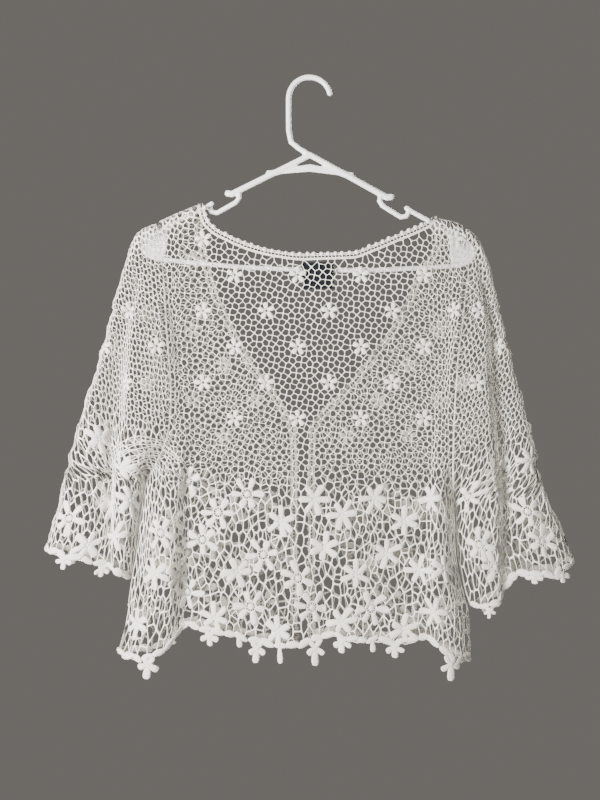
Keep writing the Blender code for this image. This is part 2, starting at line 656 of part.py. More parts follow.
def tube(name, path, section):
    """A tube along a path in the x-z plane, with blunt rounded ends."""
    half_height, half_depth = section
    p = np.array(path, float)
    ahead = np.diff(p, axis=0)
    ahead /= np.linalg.norm(ahead, axis=1)[:, None]
    mean = np.concatenate([ahead[:1], ahead[:-1] + ahead[1:], ahead[-1:]])
    mean /= np.linalg.norm(mean, axis=1)[:, None]
    rings = [(p[0] - mean[0] * half_height * END_REACH, mean[0], END_SIZE)]
    rings += [(point, direction, 1.0) for point, direction in zip(p, mean)]
    rings.append((p[-1] + mean[-1] * half_height * END_REACH, mean[-1], END_SIZE))
    vertices = []
    for (x, z), (dx, dz), size in rings:
        for k in range(TUBE_SIDES):
            angle = 2 * math.pi * k / TUBE_SIDES
            up = half_height * size * math.cos(angle)
            y = half_depth * size * math.sin(angle)
            vertices.append(((x - dz * up) * MM, y * MM, (z + dx * up) * MM))
    faces = []
    for ring in range(len(rings) - 1):
        for k in range(TUBE_SIDES):
            a = ring * TUBE_SIDES + k
            b = ring * TUBE_SIDES + (k + 1) % TUBE_SIDES
            faces.append((a, b, b + TUBE_SIDES, a + TUBE_SIDES))
    faces.append(tuple(range(TUBE_SIDES))[::-1])
    faces.append(tuple(range(len(vertices) - TUBE_SIDES, len(vertices))))
    return finish(name, vertices, faces, "hanger")


def rounded_path(points, step=TUBE_STEP):
    """A path that is smooth through its points."""
    p = np.array(points, float)
    run = np.concatenate([[0], np.cumsum(np.linalg.norm(np.diff(p, axis=0), axis=1))])
    at = [0.0]
    for start, end in zip(run[:-1], run[1:]):
        parts = max(1, min(3, round((end - start) / step)))
        at += [start + (end - start) * i / parts for i in range(1, parts + 1)]
    at = np.array(at)
    return list(zip(eased(at, run, p[:, 0]), eased(at, run, p[:, 1])))


def hook_path():
    """From the open tip over the top and down to the neck."""
    start = math.radians(HOOK_OPEN_DEGREES)
    centre_z = HOOK_TUBE[0] - HOOK_RADIUS
    round_part = []
    for k in range(HOOK_STEPS + 1):
        angle = start + (math.pi - start) * k / HOOK_STEPS
        round_part.append((HOOK_RADIUS * math.cos(angle), centre_z + HOOK_RADIUS * math.sin(angle)))
    return round_part[:-1] + rounded_path(HANGER_NECK)


def build_hanger():
    def mirrored(points):
        return [(-x, z) for x, z in points]

    rim = mirrored(HANGER_RIM) + list(HANGER_RIM[-2::-1])
    tubes = [
        tube("hanger", [(x - HANGER_MIDDLE_X, z) for x, z in hook_path()], HOOK_TUBE),
        tube("arms", mirrored(HANGER_ARM)[::-1] + list(HANGER_ARM[1:]), ARM_TUBE),
        tube("notch_right", HANGER_NOTCH, NOTCH_TUBE),
        tube("notch_left", mirrored(HANGER_NOTCH), NOTCH_TUBE),
        tube("rim", rim, BAR_TUBE),
        plate("web", HANGER_WEB),
        plate("end_right", HANGER_END),
        plate("end_left", mirrored(HANGER_END)[::-1]),
    ]
    hanger = tubes[0]
    for other in tubes[1:]:
        joined = hanger.modifiers.new("joined", "BOOLEAN")
        joined.operation = "UNION"
        joined.solver = "EXACT"
        joined.object = other
        apply_modifiers(hanger)
        bpy.data.objects.remove(other)
    turn = Matrix.Rotation(math.radians(HANGER_TILT_DEGREES), 4, "Y")
    hanger.data.transform(turn @ Matrix.Translation((HANGER_MIDDLE_X * MM, 0, 0)))


def plate(name, outline):
    """A thin upright plate between tubes, in the middle of their depth."""
    half = WEB_THICKNESS / 2
    front = [(x * MM, -half * MM, z * MM) for x, z in outline]
    rear = [(x * MM, half * MM, z * MM) for x, z in outline]
    n = len(outline)
    faces = [tuple(range(n))[::-1], tuple(range(n, 2 * n))]
    faces += [(i, (i + 1) % n, (i + 1) % n + n, i + n) for i in range(n)]
    return finish(name, front + rear, faces, "hanger")


def apply_modifiers(thing):
    graph = bpy.context.evaluated_depsgraph_get()
    result = bpy.data.meshes.new_from_object(thing.evaluated_get(graph))
    thing.modifiers.clear()
    thing.data = result


def main():
    for thing in list(bpy.data.objects):
        bpy.data.objects.remove(thing)
    near, far = Sheet(-1, 1.0), Sheet(1, FAR_SHARE)
    build_hanger()
    build_body(near, far)
    for sheet, place in ((near, "near"), (far, "far")):
        build_sleeve(f"sleeve_left_{place}", sheet, -1, CUFF_LEFT, PETALS_CUFF_LEFT)
        build_sleeve(f"sleeve_right_{place}", sheet, 1, CUFF_RIGHT, PETALS_CUFF_RIGHT)
    build_edging("edging_neck", near, NECKLINE, -1)
    build_edging("edging_front_left", far, FRONT_EDGE_LEFT, -1)
    build_edging("edging_front_right", far, FRONT_EDGE_RIGHT, 1)
    build_label(near)


main()
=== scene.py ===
"""The looks of a crochet lace cardigan that hangs on a plastic hanger.

The cardigan hangs with its back towards the camera. Its lace is made thread by thread: a net of
cells between the flowers of the border and the small flowers above it, laid on the same near and
far sheets of cloth as the solids. Sizes are in millimetres until a mesh is made.
"""

import json
import math

import bmesh
import bpy
import numpy as np
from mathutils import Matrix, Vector
from mathutils.geometry import delaunay_2d_cdt

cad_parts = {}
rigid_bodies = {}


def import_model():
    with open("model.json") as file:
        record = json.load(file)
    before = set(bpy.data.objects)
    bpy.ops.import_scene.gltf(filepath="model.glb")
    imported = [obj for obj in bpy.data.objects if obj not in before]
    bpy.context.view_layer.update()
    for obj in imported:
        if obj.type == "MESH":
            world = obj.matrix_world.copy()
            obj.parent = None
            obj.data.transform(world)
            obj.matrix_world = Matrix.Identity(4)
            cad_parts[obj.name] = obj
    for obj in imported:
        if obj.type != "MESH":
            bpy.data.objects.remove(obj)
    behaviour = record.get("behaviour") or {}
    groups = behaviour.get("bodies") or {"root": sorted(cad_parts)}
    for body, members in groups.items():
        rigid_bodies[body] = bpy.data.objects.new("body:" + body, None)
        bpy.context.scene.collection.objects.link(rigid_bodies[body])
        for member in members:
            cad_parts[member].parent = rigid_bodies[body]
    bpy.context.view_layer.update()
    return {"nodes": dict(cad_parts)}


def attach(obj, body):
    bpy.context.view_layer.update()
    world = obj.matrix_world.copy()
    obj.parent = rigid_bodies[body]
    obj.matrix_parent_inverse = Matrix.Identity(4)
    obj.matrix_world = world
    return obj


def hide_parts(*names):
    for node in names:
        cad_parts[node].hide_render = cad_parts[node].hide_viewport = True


for thing in list(bpy.data.objects):
    bpy.data.objects.remove(thing)
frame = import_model()
MM = 0.001

# Cloth
SEAM_HALF_GAP = 0.25
REST_DEPTH = 11.0
SHOULDER_ROUND = 14.0        # height over which the cloth rolls over the shoulder
FAR_SHARE = 0.25             # how deep the far sheet's folds are, as a share of the near one's
MIDDLE_WAVE, WAVE_PITCH, WAVE_CREST_X = 4.0, 78.0, 54.0
WAVE_START_Z, WAVE_FULL_Z = -430.0, -640.0
EDGING_WIDTH = 7.0
EDGING_OVERLAP = 0.6         # the panels reach this far under their edging
SLOPE_STEP = 0.8
FOLD = 0.55                  # share of a fold's width over which it turns
SIDE_FOLD = FOLD + 0.15
CREASE_FADE = 0.22           # share of a crease's length over which it dies away at each end
LINE_STEP = 4.0              # distance between the points of a line

# The net. Its cells are pentagons in a basket pattern; the border's are longer and uneven.
NET_PITCH = 10.2
NET_SHIFT = 0.134 * NET_PITCH
NET_JITTER = 0.6
NET_ANGLE_NEAR, NET_ANGLE_FRONT, NET_ANGLE_SLEEVE = 0.35, -0.2, 0.5
THREAD_HALF_WIDTH = 0.52
THREAD_HALF_HEIGHT = 0.7
THREAD_SPREAD = 0.2          # how unevenly stout the thread is, as a share
THREAD_LIFT_SPREAD = 0.16
KNOT_SPREAD = 0.22           # by how much more a knot may stand out, as a share
BORDER_THREAD_HALF_WIDTH = 0.88
SHOULDER_DENSITY = 0.6       # by how much the thread's half width grows on top of the shoulders
CREST_DENSITY = 1.7          # how much more of that it grows along the hanger's arms
BORDER_HEIGHT = 190.0        # the flowered border's reach above the hem
BORDER_BLEND = 28.0
BORDER_STRETCH = 0.58        # height that a border cell takes in the net, as a share of its real one
BORDER_CELL = (5.6, 10.8)    # smallest and largest distance between cells in the border
HEM_CELL_GROWTH = 4.0        # and by how much more the largest ones grow down to the hem
FINE_CLEAR = 6.4             # least distance of a border cell from a cell of the fine net
EDGE_CLEAR = 2.6             # least distance of a cell from the panel's edge
CELL_CLEAR = 4.2             # least distance of a cell from those round the flowers
CELL_CORNER = 0.19           # share of each side of a hole that its rounded corner takes
SMALLEST_CELL = 3.0          # a cell of a smaller area is closed
MERGE = 1.5                  # knots closer than this become one
GHOST_REACH = 16.0           # cells within this distance of the edge are mirrored in it

# Large flowers: six petals, as (start, length, width), round a ringed dot or grown together
MOTIF_PITCH = 37.0
MOTIF_ZIGZAG = 12.0
MOTIF_UNEVEN = 2.2
BODY_ROWS = (31.0, 94.0, 158.0)    # of large flowers above the hem
SLEEVE_ROWS = (30.0, 88.0, 146.0)  # and above the cuff
LARGE_ROOM = 16.5            # least distance of its middle from the panel's edge
LARGE_CLEAR = 17.0           # the net's own cells keep this far from its middle
LARGE_BETWEEN = 13.2         # a cell between each two petals, at this distance
LARGE_OUTER = (22.5, 17)     # two cells past each petal: distance, and degrees to either side
LARGE_DISC, LARGE_RING, LARGE_SPOKES = 3.5, 6.6, 10
SOLID_DISC = 3.0
RINGED_PETAL = (6.2, 13.4, 8.6)
SOLID_PETAL = (1.6, 15.8, 8.2)
SHORTEST_PETAL = 7.0         # a petal beside the panel's edge is cut no shorter
PETAL_TRIM = 0.8             # it is shortened by this much at a time
PETAL_SPREAD = 0.09          # how unevenly petals turn and bend, in radians

# Small flowers: five petals round a tiny hole
SMALL_PITCH, SMALL_ROW_PITCH = 75.0, 42.6
SMALL_ABOVE_BORDER = 40.0
SMALL_FROM_LARGE = 32.0
SMALL_ROOM, SMALL_CLEAR, SMALL_BETWEEN = 11.0, 9.2, 6.6
SMALL_RING, SMALL_PETAL = 2.0, (1.9, 8.2, 6.2)

# Hem and seams
LEAF_LENGTH, LEAF_WIDTH = 15.0, 8.6
TREFOIL_HALF_WIDTH = 7.0     # a hung petal broader than this has three lobes
SEAM_STRAND = (0.7, 0.85)
SEAM_STRAND_TOP_Z = -330.0   # the right armhole's seam shows as a cord below this
LOOP_STEP = 3.0              # distance between the points of a panel's looped edge


def table(columns, *rows):
    """The rows as one array for each named column."""
    return dict(zip(columns.split(), np.array(rows, float).T))


# Sections of the hanging garment, a row for each level, as distances out from x = 0.
SECTION_COLUMNS = (
    "z edge ridge_out valley ridge_in gap_sleeve gap_body bulge foot"
    " d_out d_valley d_in d_gap d_bulge"
)
LEFT = table(
    SECTION_COLUMNS,
    (-150, 222, 206, 200, 182, 172, 172, 160, 140, 11, 11, 11, 11, 11),
    (-200, 217, 205, 200, 186, 176, 176, 165, 150, 12, 12, 13, 12, 12),
    (-250, 230, 214, 206, 188, 174, 174, 164, 150, 18, 15, 22, 19, 14),
    (-320, 247, 236, 226, 188, 168, 168, 156, 142, 22, 14, 30, 26, 15),
    (-400, 272, 254, 232, 190, 165, 164, 150, 136, 25, 13, 33, 25, 17),
    (-455, 288, 264, 235, 205, 182, 180, 158, 140, 26, 13, 31, 13, 24),
    (-480, 294, 268, 236, 216, 196.6, 195.4, 167, 145, 26, 12, 27, 0, 28),
    (-528, 306, 276, 237, 220, 204.8, 203.6, 172, 146, 25, 12, 22, 0, 33),
    (-570, 319, 280, 238, 226, 210.2, 208.8, 174, 146, 24, 12, 18, 0, 33),
    (-605, 325, 282, 240, 230, 216.4, 214.8, 177, 147, 24, 12, 16, 0, 32),
    (-660, 330, 286, 246, 236, 227, 222, 184, 150, 24, 12, 16, 0, 30),
    (-700, 334, 290, 252, 246, 240, 234, 196, 160, 24, 12, 16, 0, 28),
    (-745, 334, 290, 254, 248, 242, 236, 198, 162, 24, 12, 16, 0, 28),
)
RIGHT = table(
    SECTION_COLUMNS,
    (-150, 218, 206, 198, 186, 172, 172, 160, 140, 11, 11, 11, 11, 11),
    (-200, 211, 202, 196, 188, 176, 176, 162, 146, 12, 12, 13, 12, 12),
    (-250, 221, 211, 205, 190, 177, 177, 164, 150, 17, 15, 22, 18, 13),
    (-300, 232, 223, 216, 192, 172, 172, 162, 148, 20, 14, 29, 26, 14),
    (-360, 247, 233, 219, 188, 166, 166, 156, 146, 23, 13, 33, 30, 16),
    (-430, 266, 246, 225, 190, 166, 166, 154, 144, 25, 12, 33, 24, 20),
    (-480, 276, 252, 228, 196, 171, 169, 152, 140, 25, 12, 31, 10, 24),
    (-504, 286, 258, 229, 200, 174.2, 172.8, 150, 138, 25, 12, 28, 0, 26),
    (-571, 313, 272, 230, 205, 177.4, 175.4, 150, 134, 24, 12, 25, 0, 28),
    (-608, 321, 276, 231, 210, 185, 182.4, 152, 132, 24, 12, 23, 0, 28),
    (-646, 326, 280, 233, 215, 197, 191.4, 157, 134, 24, 12, 22, 0, 27),
    (-702, 330, 284, 240, 224, 206, 193, 162, 138, 24, 12, 22, 0, 26),
    (-745, 330, 284, 240, 226, 208, 194, 164, 140, 24, 12, 22, 0, 26),
)

# The shoulder line, seen from the front. Between the necks it only bounds the roll.
CREST = table(
    "x z",
    (-217, -204), (-214, -197), (-205, -183), (-178, -169), (-156, -159), (-134, -150),
    (-126, -147), (-100, -120), (0, -100), (120, -120), (136, -152), (144, -163.5),
    (156, -167), (172, -170.5), (192, -182), (204, -197), (211, -214),
)
# Rows are points along each line. The seams start on the shoulder line.
NECKLINE = table(
    "x z",
    (-126, -147), (-123, -166), (-114, -178), (-98, -187), (-67, -200), (-36, -207),
    (-10, -210), (22, -209), (50, -208), (71, -201), (100, -189), (128, -177), (140, -170.5),
    (144, -163.5),
)
FRONT_EDGE_LEFT = table(
    "x z",
    (-126, -147), (-130, -178), (-124, -211), (-114, -248), (-102, -276), (-86, -308),
    (-68, -341), (-47, -366), (-30, -394), (-17, -420), (-15, -470), (-15, -560), (-15, -678),
)
FRONT_EDGE_RIGHT = table(
    "x z",
    (144, -163.5), (152, -192), (140, -217), (127, -240), (118, -262), (104, -290),
    (83, -318), (61, -347), (38, -374), (16, -396), (0, -420), (-2, -470), (-2, -560),
    (-2, -674),
)
ARMHOLE_LEFT = table(
    "x z",
    (-182, -171), (-175, -218), (-168, -300), (-163, -384), (-166, -420), (-180, -456),
    (-195, -480),
)
ARMHOLE_RIGHT = table(
    "x z",
    (185, -177), (187, -218), (179, -288), (171, -348), (168, -420), (169, -468), (173, -504),
)
HEM = table(
    "x z",
    (-229, -688), (-205, -690), (-168, -678), (-149, -652), (-132, -658), (-90, -665),
    (-68, -672), (-36, -678), (-12, -678), (14, -667), (30, -665), (52, -672), (85, -672),
    (118, -675), (133, -666), (156, -679), (176, -694), (193, -696),
)
CUFF_LEFT = table(
    "x z",
    (-319, -562), (-306, -565), (-295, -568), (-272, -574), (-252, -580), (-236, -585),
    (-218, -599),
)
CUFF_RIGHT = table(
    "x z",
    (193, -632), (210, -631), (222, -624), (232, -609), (240, -596), (256, -591), (280, -593),
    (304, -585), (315, -577),
)
# Petals hung from the hem and the cuffs: where, how broad, how far down.
PETALS_BACK = table(
    "x half_width drop",
    (-189, 16, 30), (-119, 14, 20), (-85, 5, 15), (-63, 14, 30), (-36, 5, 24), (6, 15, 38),
    (38, 14, 22), (74, 5, 15), (101, 14, 22), (165, 15, 34),
)
PETALS_CUFF_LEFT = table("x half_width drop", (-289, 12, 18), (-246, 12, 16))
PETALS_CUFF_RIGHT = table(
    "x half_width drop", (211, 8, 14), (263, 12, 12), (296, 12, 14),
)

# Further creases of the two sheets: from, to, half width and height (below 0 a trough).
CREASES_NEAR = table(
    "x0 z0 x1 z1 half_width height",
    (-150, -560, -152, -680, 9, -4.0), (14, -545, 18, -668, 7, -3.5), (-62, -585, -70, -672, 8, 2.5),
    (-160, -430, -120, -500, 8, 2.5), (-150, -462, -112, -535, 7, -2.0), (96, -560, 100, -672, 7, 2.5),
    (150, -520, 128, -640, 8, 3.0), (-205, -250, -215, -420, 7, 2.5), (-272, -470, -286, -560, 7, -3.0),
    (-246, -430, -262, -565, 6, 2.5), (212, -330, 222, -560, 6, 2.5), (262, -470, 284, -580, 7, -3.0),
    (-150, -195, -60, -230, 7, 1.6), (160, -205, 90, -226, 7, 1.4), (186, -470, 196, -600, 5, 2.0),
    (-235, -385, -241, -590, 4.5, -6.0), (178, -230, 167, -440, 4.5, 3.0),
    (230, -390, 235, -590, 4.5, -6.0), (-149, -380, -147, -640, 4.0, -3.0),
)
CREASES_FAR = table(
    "x0 z0 x1 z1 half_width height",
    (-60, -470, -66, -660, 9, 3.0), (60, -500, 66, -660, 9, 3.0), (-150, -440, -110, -540, 8, 2.5),
    (150, -470, 112, -560, 8, 2.5), (-262, -440, -280, -560, 7, 3.0), (264, -450, 286, -570, 7, 3.0),
    (-110, -560, -114, -670, 8, -2.5), (120, -590, 126, -680, 8, -2.5),
)


def eased(at, xs, ys):
    """A smooth curve through the points (xs, ys), with no overshoot, read at these places."""
    if xs[0] > xs[-1]:
        xs, ys = xs[::-1], ys[::-1]
    step = np.diff(xs)
    slope = np.diff(ys) / step
    before, after = slope[:-1], slope[1:]
    same = before * after > 0
    total = np.where(same, before + after, 1.0)
    inner = np.where(same, 2 * before * after / total, 0.0)
    tangent = np.concatenate([slope[:1], inner, slope[-1:]])
    i = np.clip(np.searchsorted(xs, at) - 1, 0, len(xs) - 2)
    t = np.clip((at - xs[i]) / step[i], 0, 1)
    return (
        ys[i] * (1 + 2 * t) * (1 - t) ** 2
        + tangent[i] * step[i] * t * (1 - t) ** 2
        + ys[i + 1] * t * t * (3 - 2 * t)
        - tangent[i + 1] * step[i] * t * t * (1 - t)
    )


def share_of(value, start, end):
    """0 at start, 1 at end."""
    return np.clip((value - start) / (end - start), 0, 1)


def soft(t):
    return t * t * (3 - 2 * t)


def rounded(t):
    """A quarter of an ellipse: it leaves 0 upright and arrives at 1 level."""
    return np.sqrt(np.clip(1 - (1 - t) ** 2, 0, 1))


# The sheets of cloth

def middle_depth(x, z):
    wave = 0.5 + 0.5 * np.cos(2 * math.pi * (x - WAVE_CREST_X) / WAVE_PITCH)
    return REST_DEPTH + MIDDLE_WAVE * soft(share_of(z, WAVE_START_Z, WAVE_FULL_Z)) * wave


def column(side, name, z):
    """A column of a side's table at heights z; the sleeve's outer fold wavers along its length."""
    value = eased(z, side["z"], side[name])
    if name != "edge":
        return value
    waver = 1.3 * np.sin(z / 6.1 + 1.6 * np.sin(z / 23.0))
    waver = waver + 0.9 * np.sin(z / 2.9 + 1.3 * np.sin(z / 11.0))
    return value + waver * soft(share_of(z, -215.0, -260.0))


def side_depth(r, z, middle, side):
    """Depth at distance r out from the middle, on the side that the table describes."""
    at = {name: column(side, name, z) for name in side if name != "z"}
    notch = 1 - np.clip(at["d_gap"] / REST_DEPTH, 0, 1)

    def towards_gap(t):
        return (1 - notch) * soft(t) + notch * np.sin(math.pi / 2 * t)

    rise_body = towards_gap(share_of(r, at["gap_body"], at["bulge"]))
    rise_sleeve = towards_gap(share_of(r, at["gap_sleeve"], at["ridge_in"]))
    inner = soft(share_of(r, at["valley"] - FOLD * (at["valley"] - at["ridge_in"]), at["valley"]))
    outer = soft(share_of(r, at["valley"], at["ridge_out"]))
    side_fold = share_of(r, at["foot"], at["foot"] + SIDE_FOLD * (at["bulge"] - at["foot"]))
    deep = middle + (at["d_bulge"] - middle) * soft(side_fold)
    for start, value in (
        ("bulge", at["d_gap"] + (at["d_bulge"] - at["d_gap"]) * rise_body),
        ("gap_sleeve", at["d_gap"] + (at["d_in"] - at["d_gap"]) * rise_sleeve),
        ("ridge_in", at["d_in"] + (at["d_valley"] - at["d_in"]) * inner),
        ("valley", at["d_valley"] + (at["d_out"] - at["d_valley"]) * outer),
        ("ridge_out", at["d_out"] * rounded(share_of(r, at["edge"], at["ridge_out"]))),
    ):
        deep = np.where(r > at[start], value, deep)
    return deep


def creased(x, z, creases):
    """The height that the creases add."""
    height = np.zeros(np.shape(x))
    for x0, z0, x1, z1, half_width, rise in zip(*creases.values()):
        length = math.hypot(x1 - x0, z1 - z0)
        ax, az = (x1 - x0) / length, (z1 - z0) / length
        along = ((x - x0) * ax + (z - z0) * az) / length
        across = (x - x0) * az - (z - z0) * ax
        fade = soft(np.clip(along / CREASE_FADE, 0, 1)) * soft(np.clip((1 - along) / CREASE_FADE, 0, 1))
        height = height + rise * fade * np.exp(-((across / half_width) ** 2))
    return height


def depth(x, z, share, creases):
    """How far a sheet stands off the seam plane."""
    middle = middle_depth(x, z)
    deep = np.where(x < 0, side_depth(-x, z, middle, LEFT), side_depth(x, z, middle, RIGHT))
    deep = np.where(deep > REST_DEPTH, REST_DEPTH + share * (deep - REST_DEPTH), deep)
    deep = deep + creased(x, z, creases) * np.clip(deep / REST_DEPTH, 0, 1) ** 2
    return deep * rounded(np.clip((crest_z(x) - z) / SHOULDER_ROUND, 0, 1))


def crest_z(x):
    return eased(np.asarray(x, float), CREST["x"], CREST["z"])


def read_grid(grid, row, column):
    """Values between the points of a grid."""
    row = np.clip(row, 0, grid.shape[0] - 1.001)
    column = np.clip(column, 0, grid.shape[1] - 1.001)
    i, j = row.astype(int), column.astype(int)
    f, g = row - i, column - j
    upper = grid[i + 1, j] * (1 - g) + grid[i + 1, j + 1] * g
    return (grid[i, j] * (1 - g) + grid[i, j + 1] * g) * (1 - f) + upper * f


class Sheet:
    """The near or the far sheet, with cloth lengths measured along each level."""

    X0, XSTEP, Z0, ZSTEP = -350.0, 0.5, -750.0, 3.0
    XS = np.arange(X0, 350.0, XSTEP)
    ZS = np.arange(Z0, -93.0, ZSTEP)
    US = np.arange(-460.0, 460.0, XSTEP)

    def __init__(self, facing, share, creases):
        self.facing, self.share, self.creases = facing, share, creases
        deep = depth(self.XS[None, :], self.ZS[:, None], share, creases)
        steps = np.hypot(np.diff(self.XS)[None, :], np.diff(deep, axis=1))
        start = np.zeros((len(self.ZS), 1))
        self.run = np.concatenate([start, np.cumsum(steps, axis=1)], axis=1)
        self.run -= self.run[:, [len(self.XS) // 2]]
        self.back = np.array([np.interp(self.US, level, self.XS) for level in self.run])

    def length_to(self, x, z):
        """Cloth length along the level from the middle out to x."""
        x, z = np.asarray(x, float), np.asarray(z, float)
        return read_grid(self.run, (z - self.Z0) / self.ZSTEP, (x - self.X0) / self.XSTEP)

    def x_at(self, u, z):
        return read_grid(self.back, (z - self.Z0) / self.ZSTEP, (u - self.US[0]) / self.XSTEP)

    def flat(self, line):
        line = np.array(line, float)
        return np.stack([self.length_to(line[:, 0], line[:, 1]), line[:, 1]], axis=1)

    def placed(self, u, z, lift):
        """Points of cloth lengths u at heights z, moved out of the sheet by lift, in metres."""
        x = self.x_at(u, z)
        step = SLOPE_STEP
        known = (self.share, self.creases)
        slope_x = (depth(x + step, z, *known) - depth(x - step, z, *known)) / 2 / step
        slope_z = (depth(x, z + step, *known) - depth(x, z - step, *known)) / 2 / step
        size = lift / np.sqrt(1 + slope_x**2 + slope_z**2)
        y = np.maximum(depth(x, z, *known) + size, SEAM_HALF_GAP)
        return np.stack([x - slope_x * size, self.facing * y, z - slope_z * size], axis=1) * MM


# Lines and outlines, as arrays of points

def along_curve(curve, step=LINE_STEP):
    """Points about step apart along a smooth curve through a table's rows."""
    xs, zs = curve["x"], curve["z"]
    run = np.concatenate([[0], np.cumsum(np.hypot(np.diff(xs), np.diff(zs)))])
    at = np.linspace(0, run[-1], max(2, round(run[-1] / step) + 1))
    return np.stack([eased(at, run, xs), eased(at, run, zs)], axis=1)


def evenly(start, end):
    """Values LINE_STEP or so apart from start to end."""
    return np.linspace(start, end, max(2, round(abs(end - start) / LINE_STEP) + 1))


def along_crest(start_x, end_x):
    xs = evenly(start_x, end_x)
    return np.stack([xs, crest_z(xs)], axis=1)


def down_column(side, name, sign, start_z, end_z):
    zs = evenly(start_z, end_z)
    return np.stack([sign * column(side, name, zs), zs], axis=1)


def offset_line(line, distance):
    """The line moved to its left by a distance, as seen going along it."""
    ahead = np.diff(line, axis=0)
    ahead /= np.linalg.norm(ahead, axis=1)[:, None]
    both = np.concatenate([ahead[:1], ahead[:-1] + ahead[1:], ahead[-1:]])
    both /= np.linalg.norm(both, axis=1)[:, None]
    return line + distance * np.stack([-both[:, 1], both[:, 0]], axis=1)


def on_crest(line, start=True, end=False):
    """The line with its ends put on the shoulder line."""
    line = line.copy()
    if start:
        line[0, 1] = crest_z(line[0, 0])
    if end:
        line[-1, 1] = crest_z(line[-1, 0])
    return line


def is_inside(polygon, points):
    """Whether each point lies in a polygon, by counting crossings."""
    found = np.zeros(len(points), bool)
    for (x0, y0), (x1, y1) in zip(polygon, np.roll(polygon, -1, axis=0)):
        if y0 == y1:
            continue
        spans = (y0 > points[:, 1]) != (y1 > points[:, 1])
        found ^= spans & (points[:, 0] < x0 + (x1 - x0) * (points[:, 1] - y0) / (y1 - y0))
    return found


def nearest_on(polygon, points):
    """The nearest point of a polygon's outline to each point, and how far away it is."""
    best = np.full(len(points), 1e9)
    place = np.zeros((len(points), 2))
    for a, b in zip(polygon, np.roll(polygon, -1, axis=0)):
        side = b - a
        t = np.clip(((points - a) @ side) / max(side @ side, 1e-9), 0, 1)
        foot = a + t[:, None] * side
        away = np.linalg.norm(points - foot, axis=1)
        closer = away < best
        best[closer] = away[closer]
        place[closer] = foot[closer]
    return place, best


# Lace

def turned_outward(mesh):
    """Makes the faces of every closed part look outward."""
    work = bmesh.new()
    work.from_mesh(mesh)
    bmesh.ops.recalc_face_normals(work, faces=work.faces)
    work.to_mesh(mesh)
    work.free()


def solid(name, points, faces, finish):
    """A smooth-shaded piece."""
    mesh = bpy.data.meshes.new(name)
    mesh.from_pydata([tuple(p) for p in points], [], faces)
    turned_outward(mesh)
    mesh.shade_smooth()
    mesh.materials.append(finish)
    piece = bpy.data.objects.new(name, mesh)
    bpy.context.scene.collection.objects.link(piece)
    return piece


def lofted(rings, sides):
    """Faces between rings of points, one after another, and over both ends."""
    faces = []
    for i in range(rings - 1):
        for k in range(sides):
            a, b = i * sides + k, i * sides + (k + 1) % sides
            faces.append((a, b, b + sides, a + sides))
    last = (rings - 1) * sides
    return faces + [tuple(range(sides))[::-1], tuple(range(last, last + sides))]


# A petal's outline as (share of its length, share of its width), and its section.
PETAL_STATIONS = ((0.0, 0.4), (0.2, 0.72), (0.48, 0.95), (0.76, 1.0), (0.93, 0.84), (1.0, 0.48))
SMALL_STATIONS = ((0.0, 0.46), (0.4, 0.88), (0.8, 1.0), (1.0, 0.5))
# A leaf's outline, narrow at both ends; a hung petal's, round at its tip.
LEAF_STATIONS = ((0.0, 0.3), (0.14, 0.72), (0.36, 1.0), (0.64, 0.97), (0.86, 0.7), (1.0, 0.3))
DROP_STATIONS = ((0.0, 0.5), (0.25, 0.74), (0.52, 0.95), (0.78, 1.0), (0.94, 0.78), (1.0, 0.42))
PETAL_SECTION = (
    (-1.0, 0.0), (-0.6, 0.9), (0.0, 0.5), (0.6, 0.9), (1.0, 0.0), (0.6, -0.8), (-0.6, -0.8),
)
# A bobble's levels, as (share of its height, share of its radius)
BALL_LEVELS = ((-0.95, 0.32), (-0.5, 0.86), (0.1, 1.0), (0.66, 0.75), (0.97, 0.24))
RELIEF_BASE, RELIEF_REACH = 0.9, 2.4    # the lift of a thread, as a value from 0 to 1


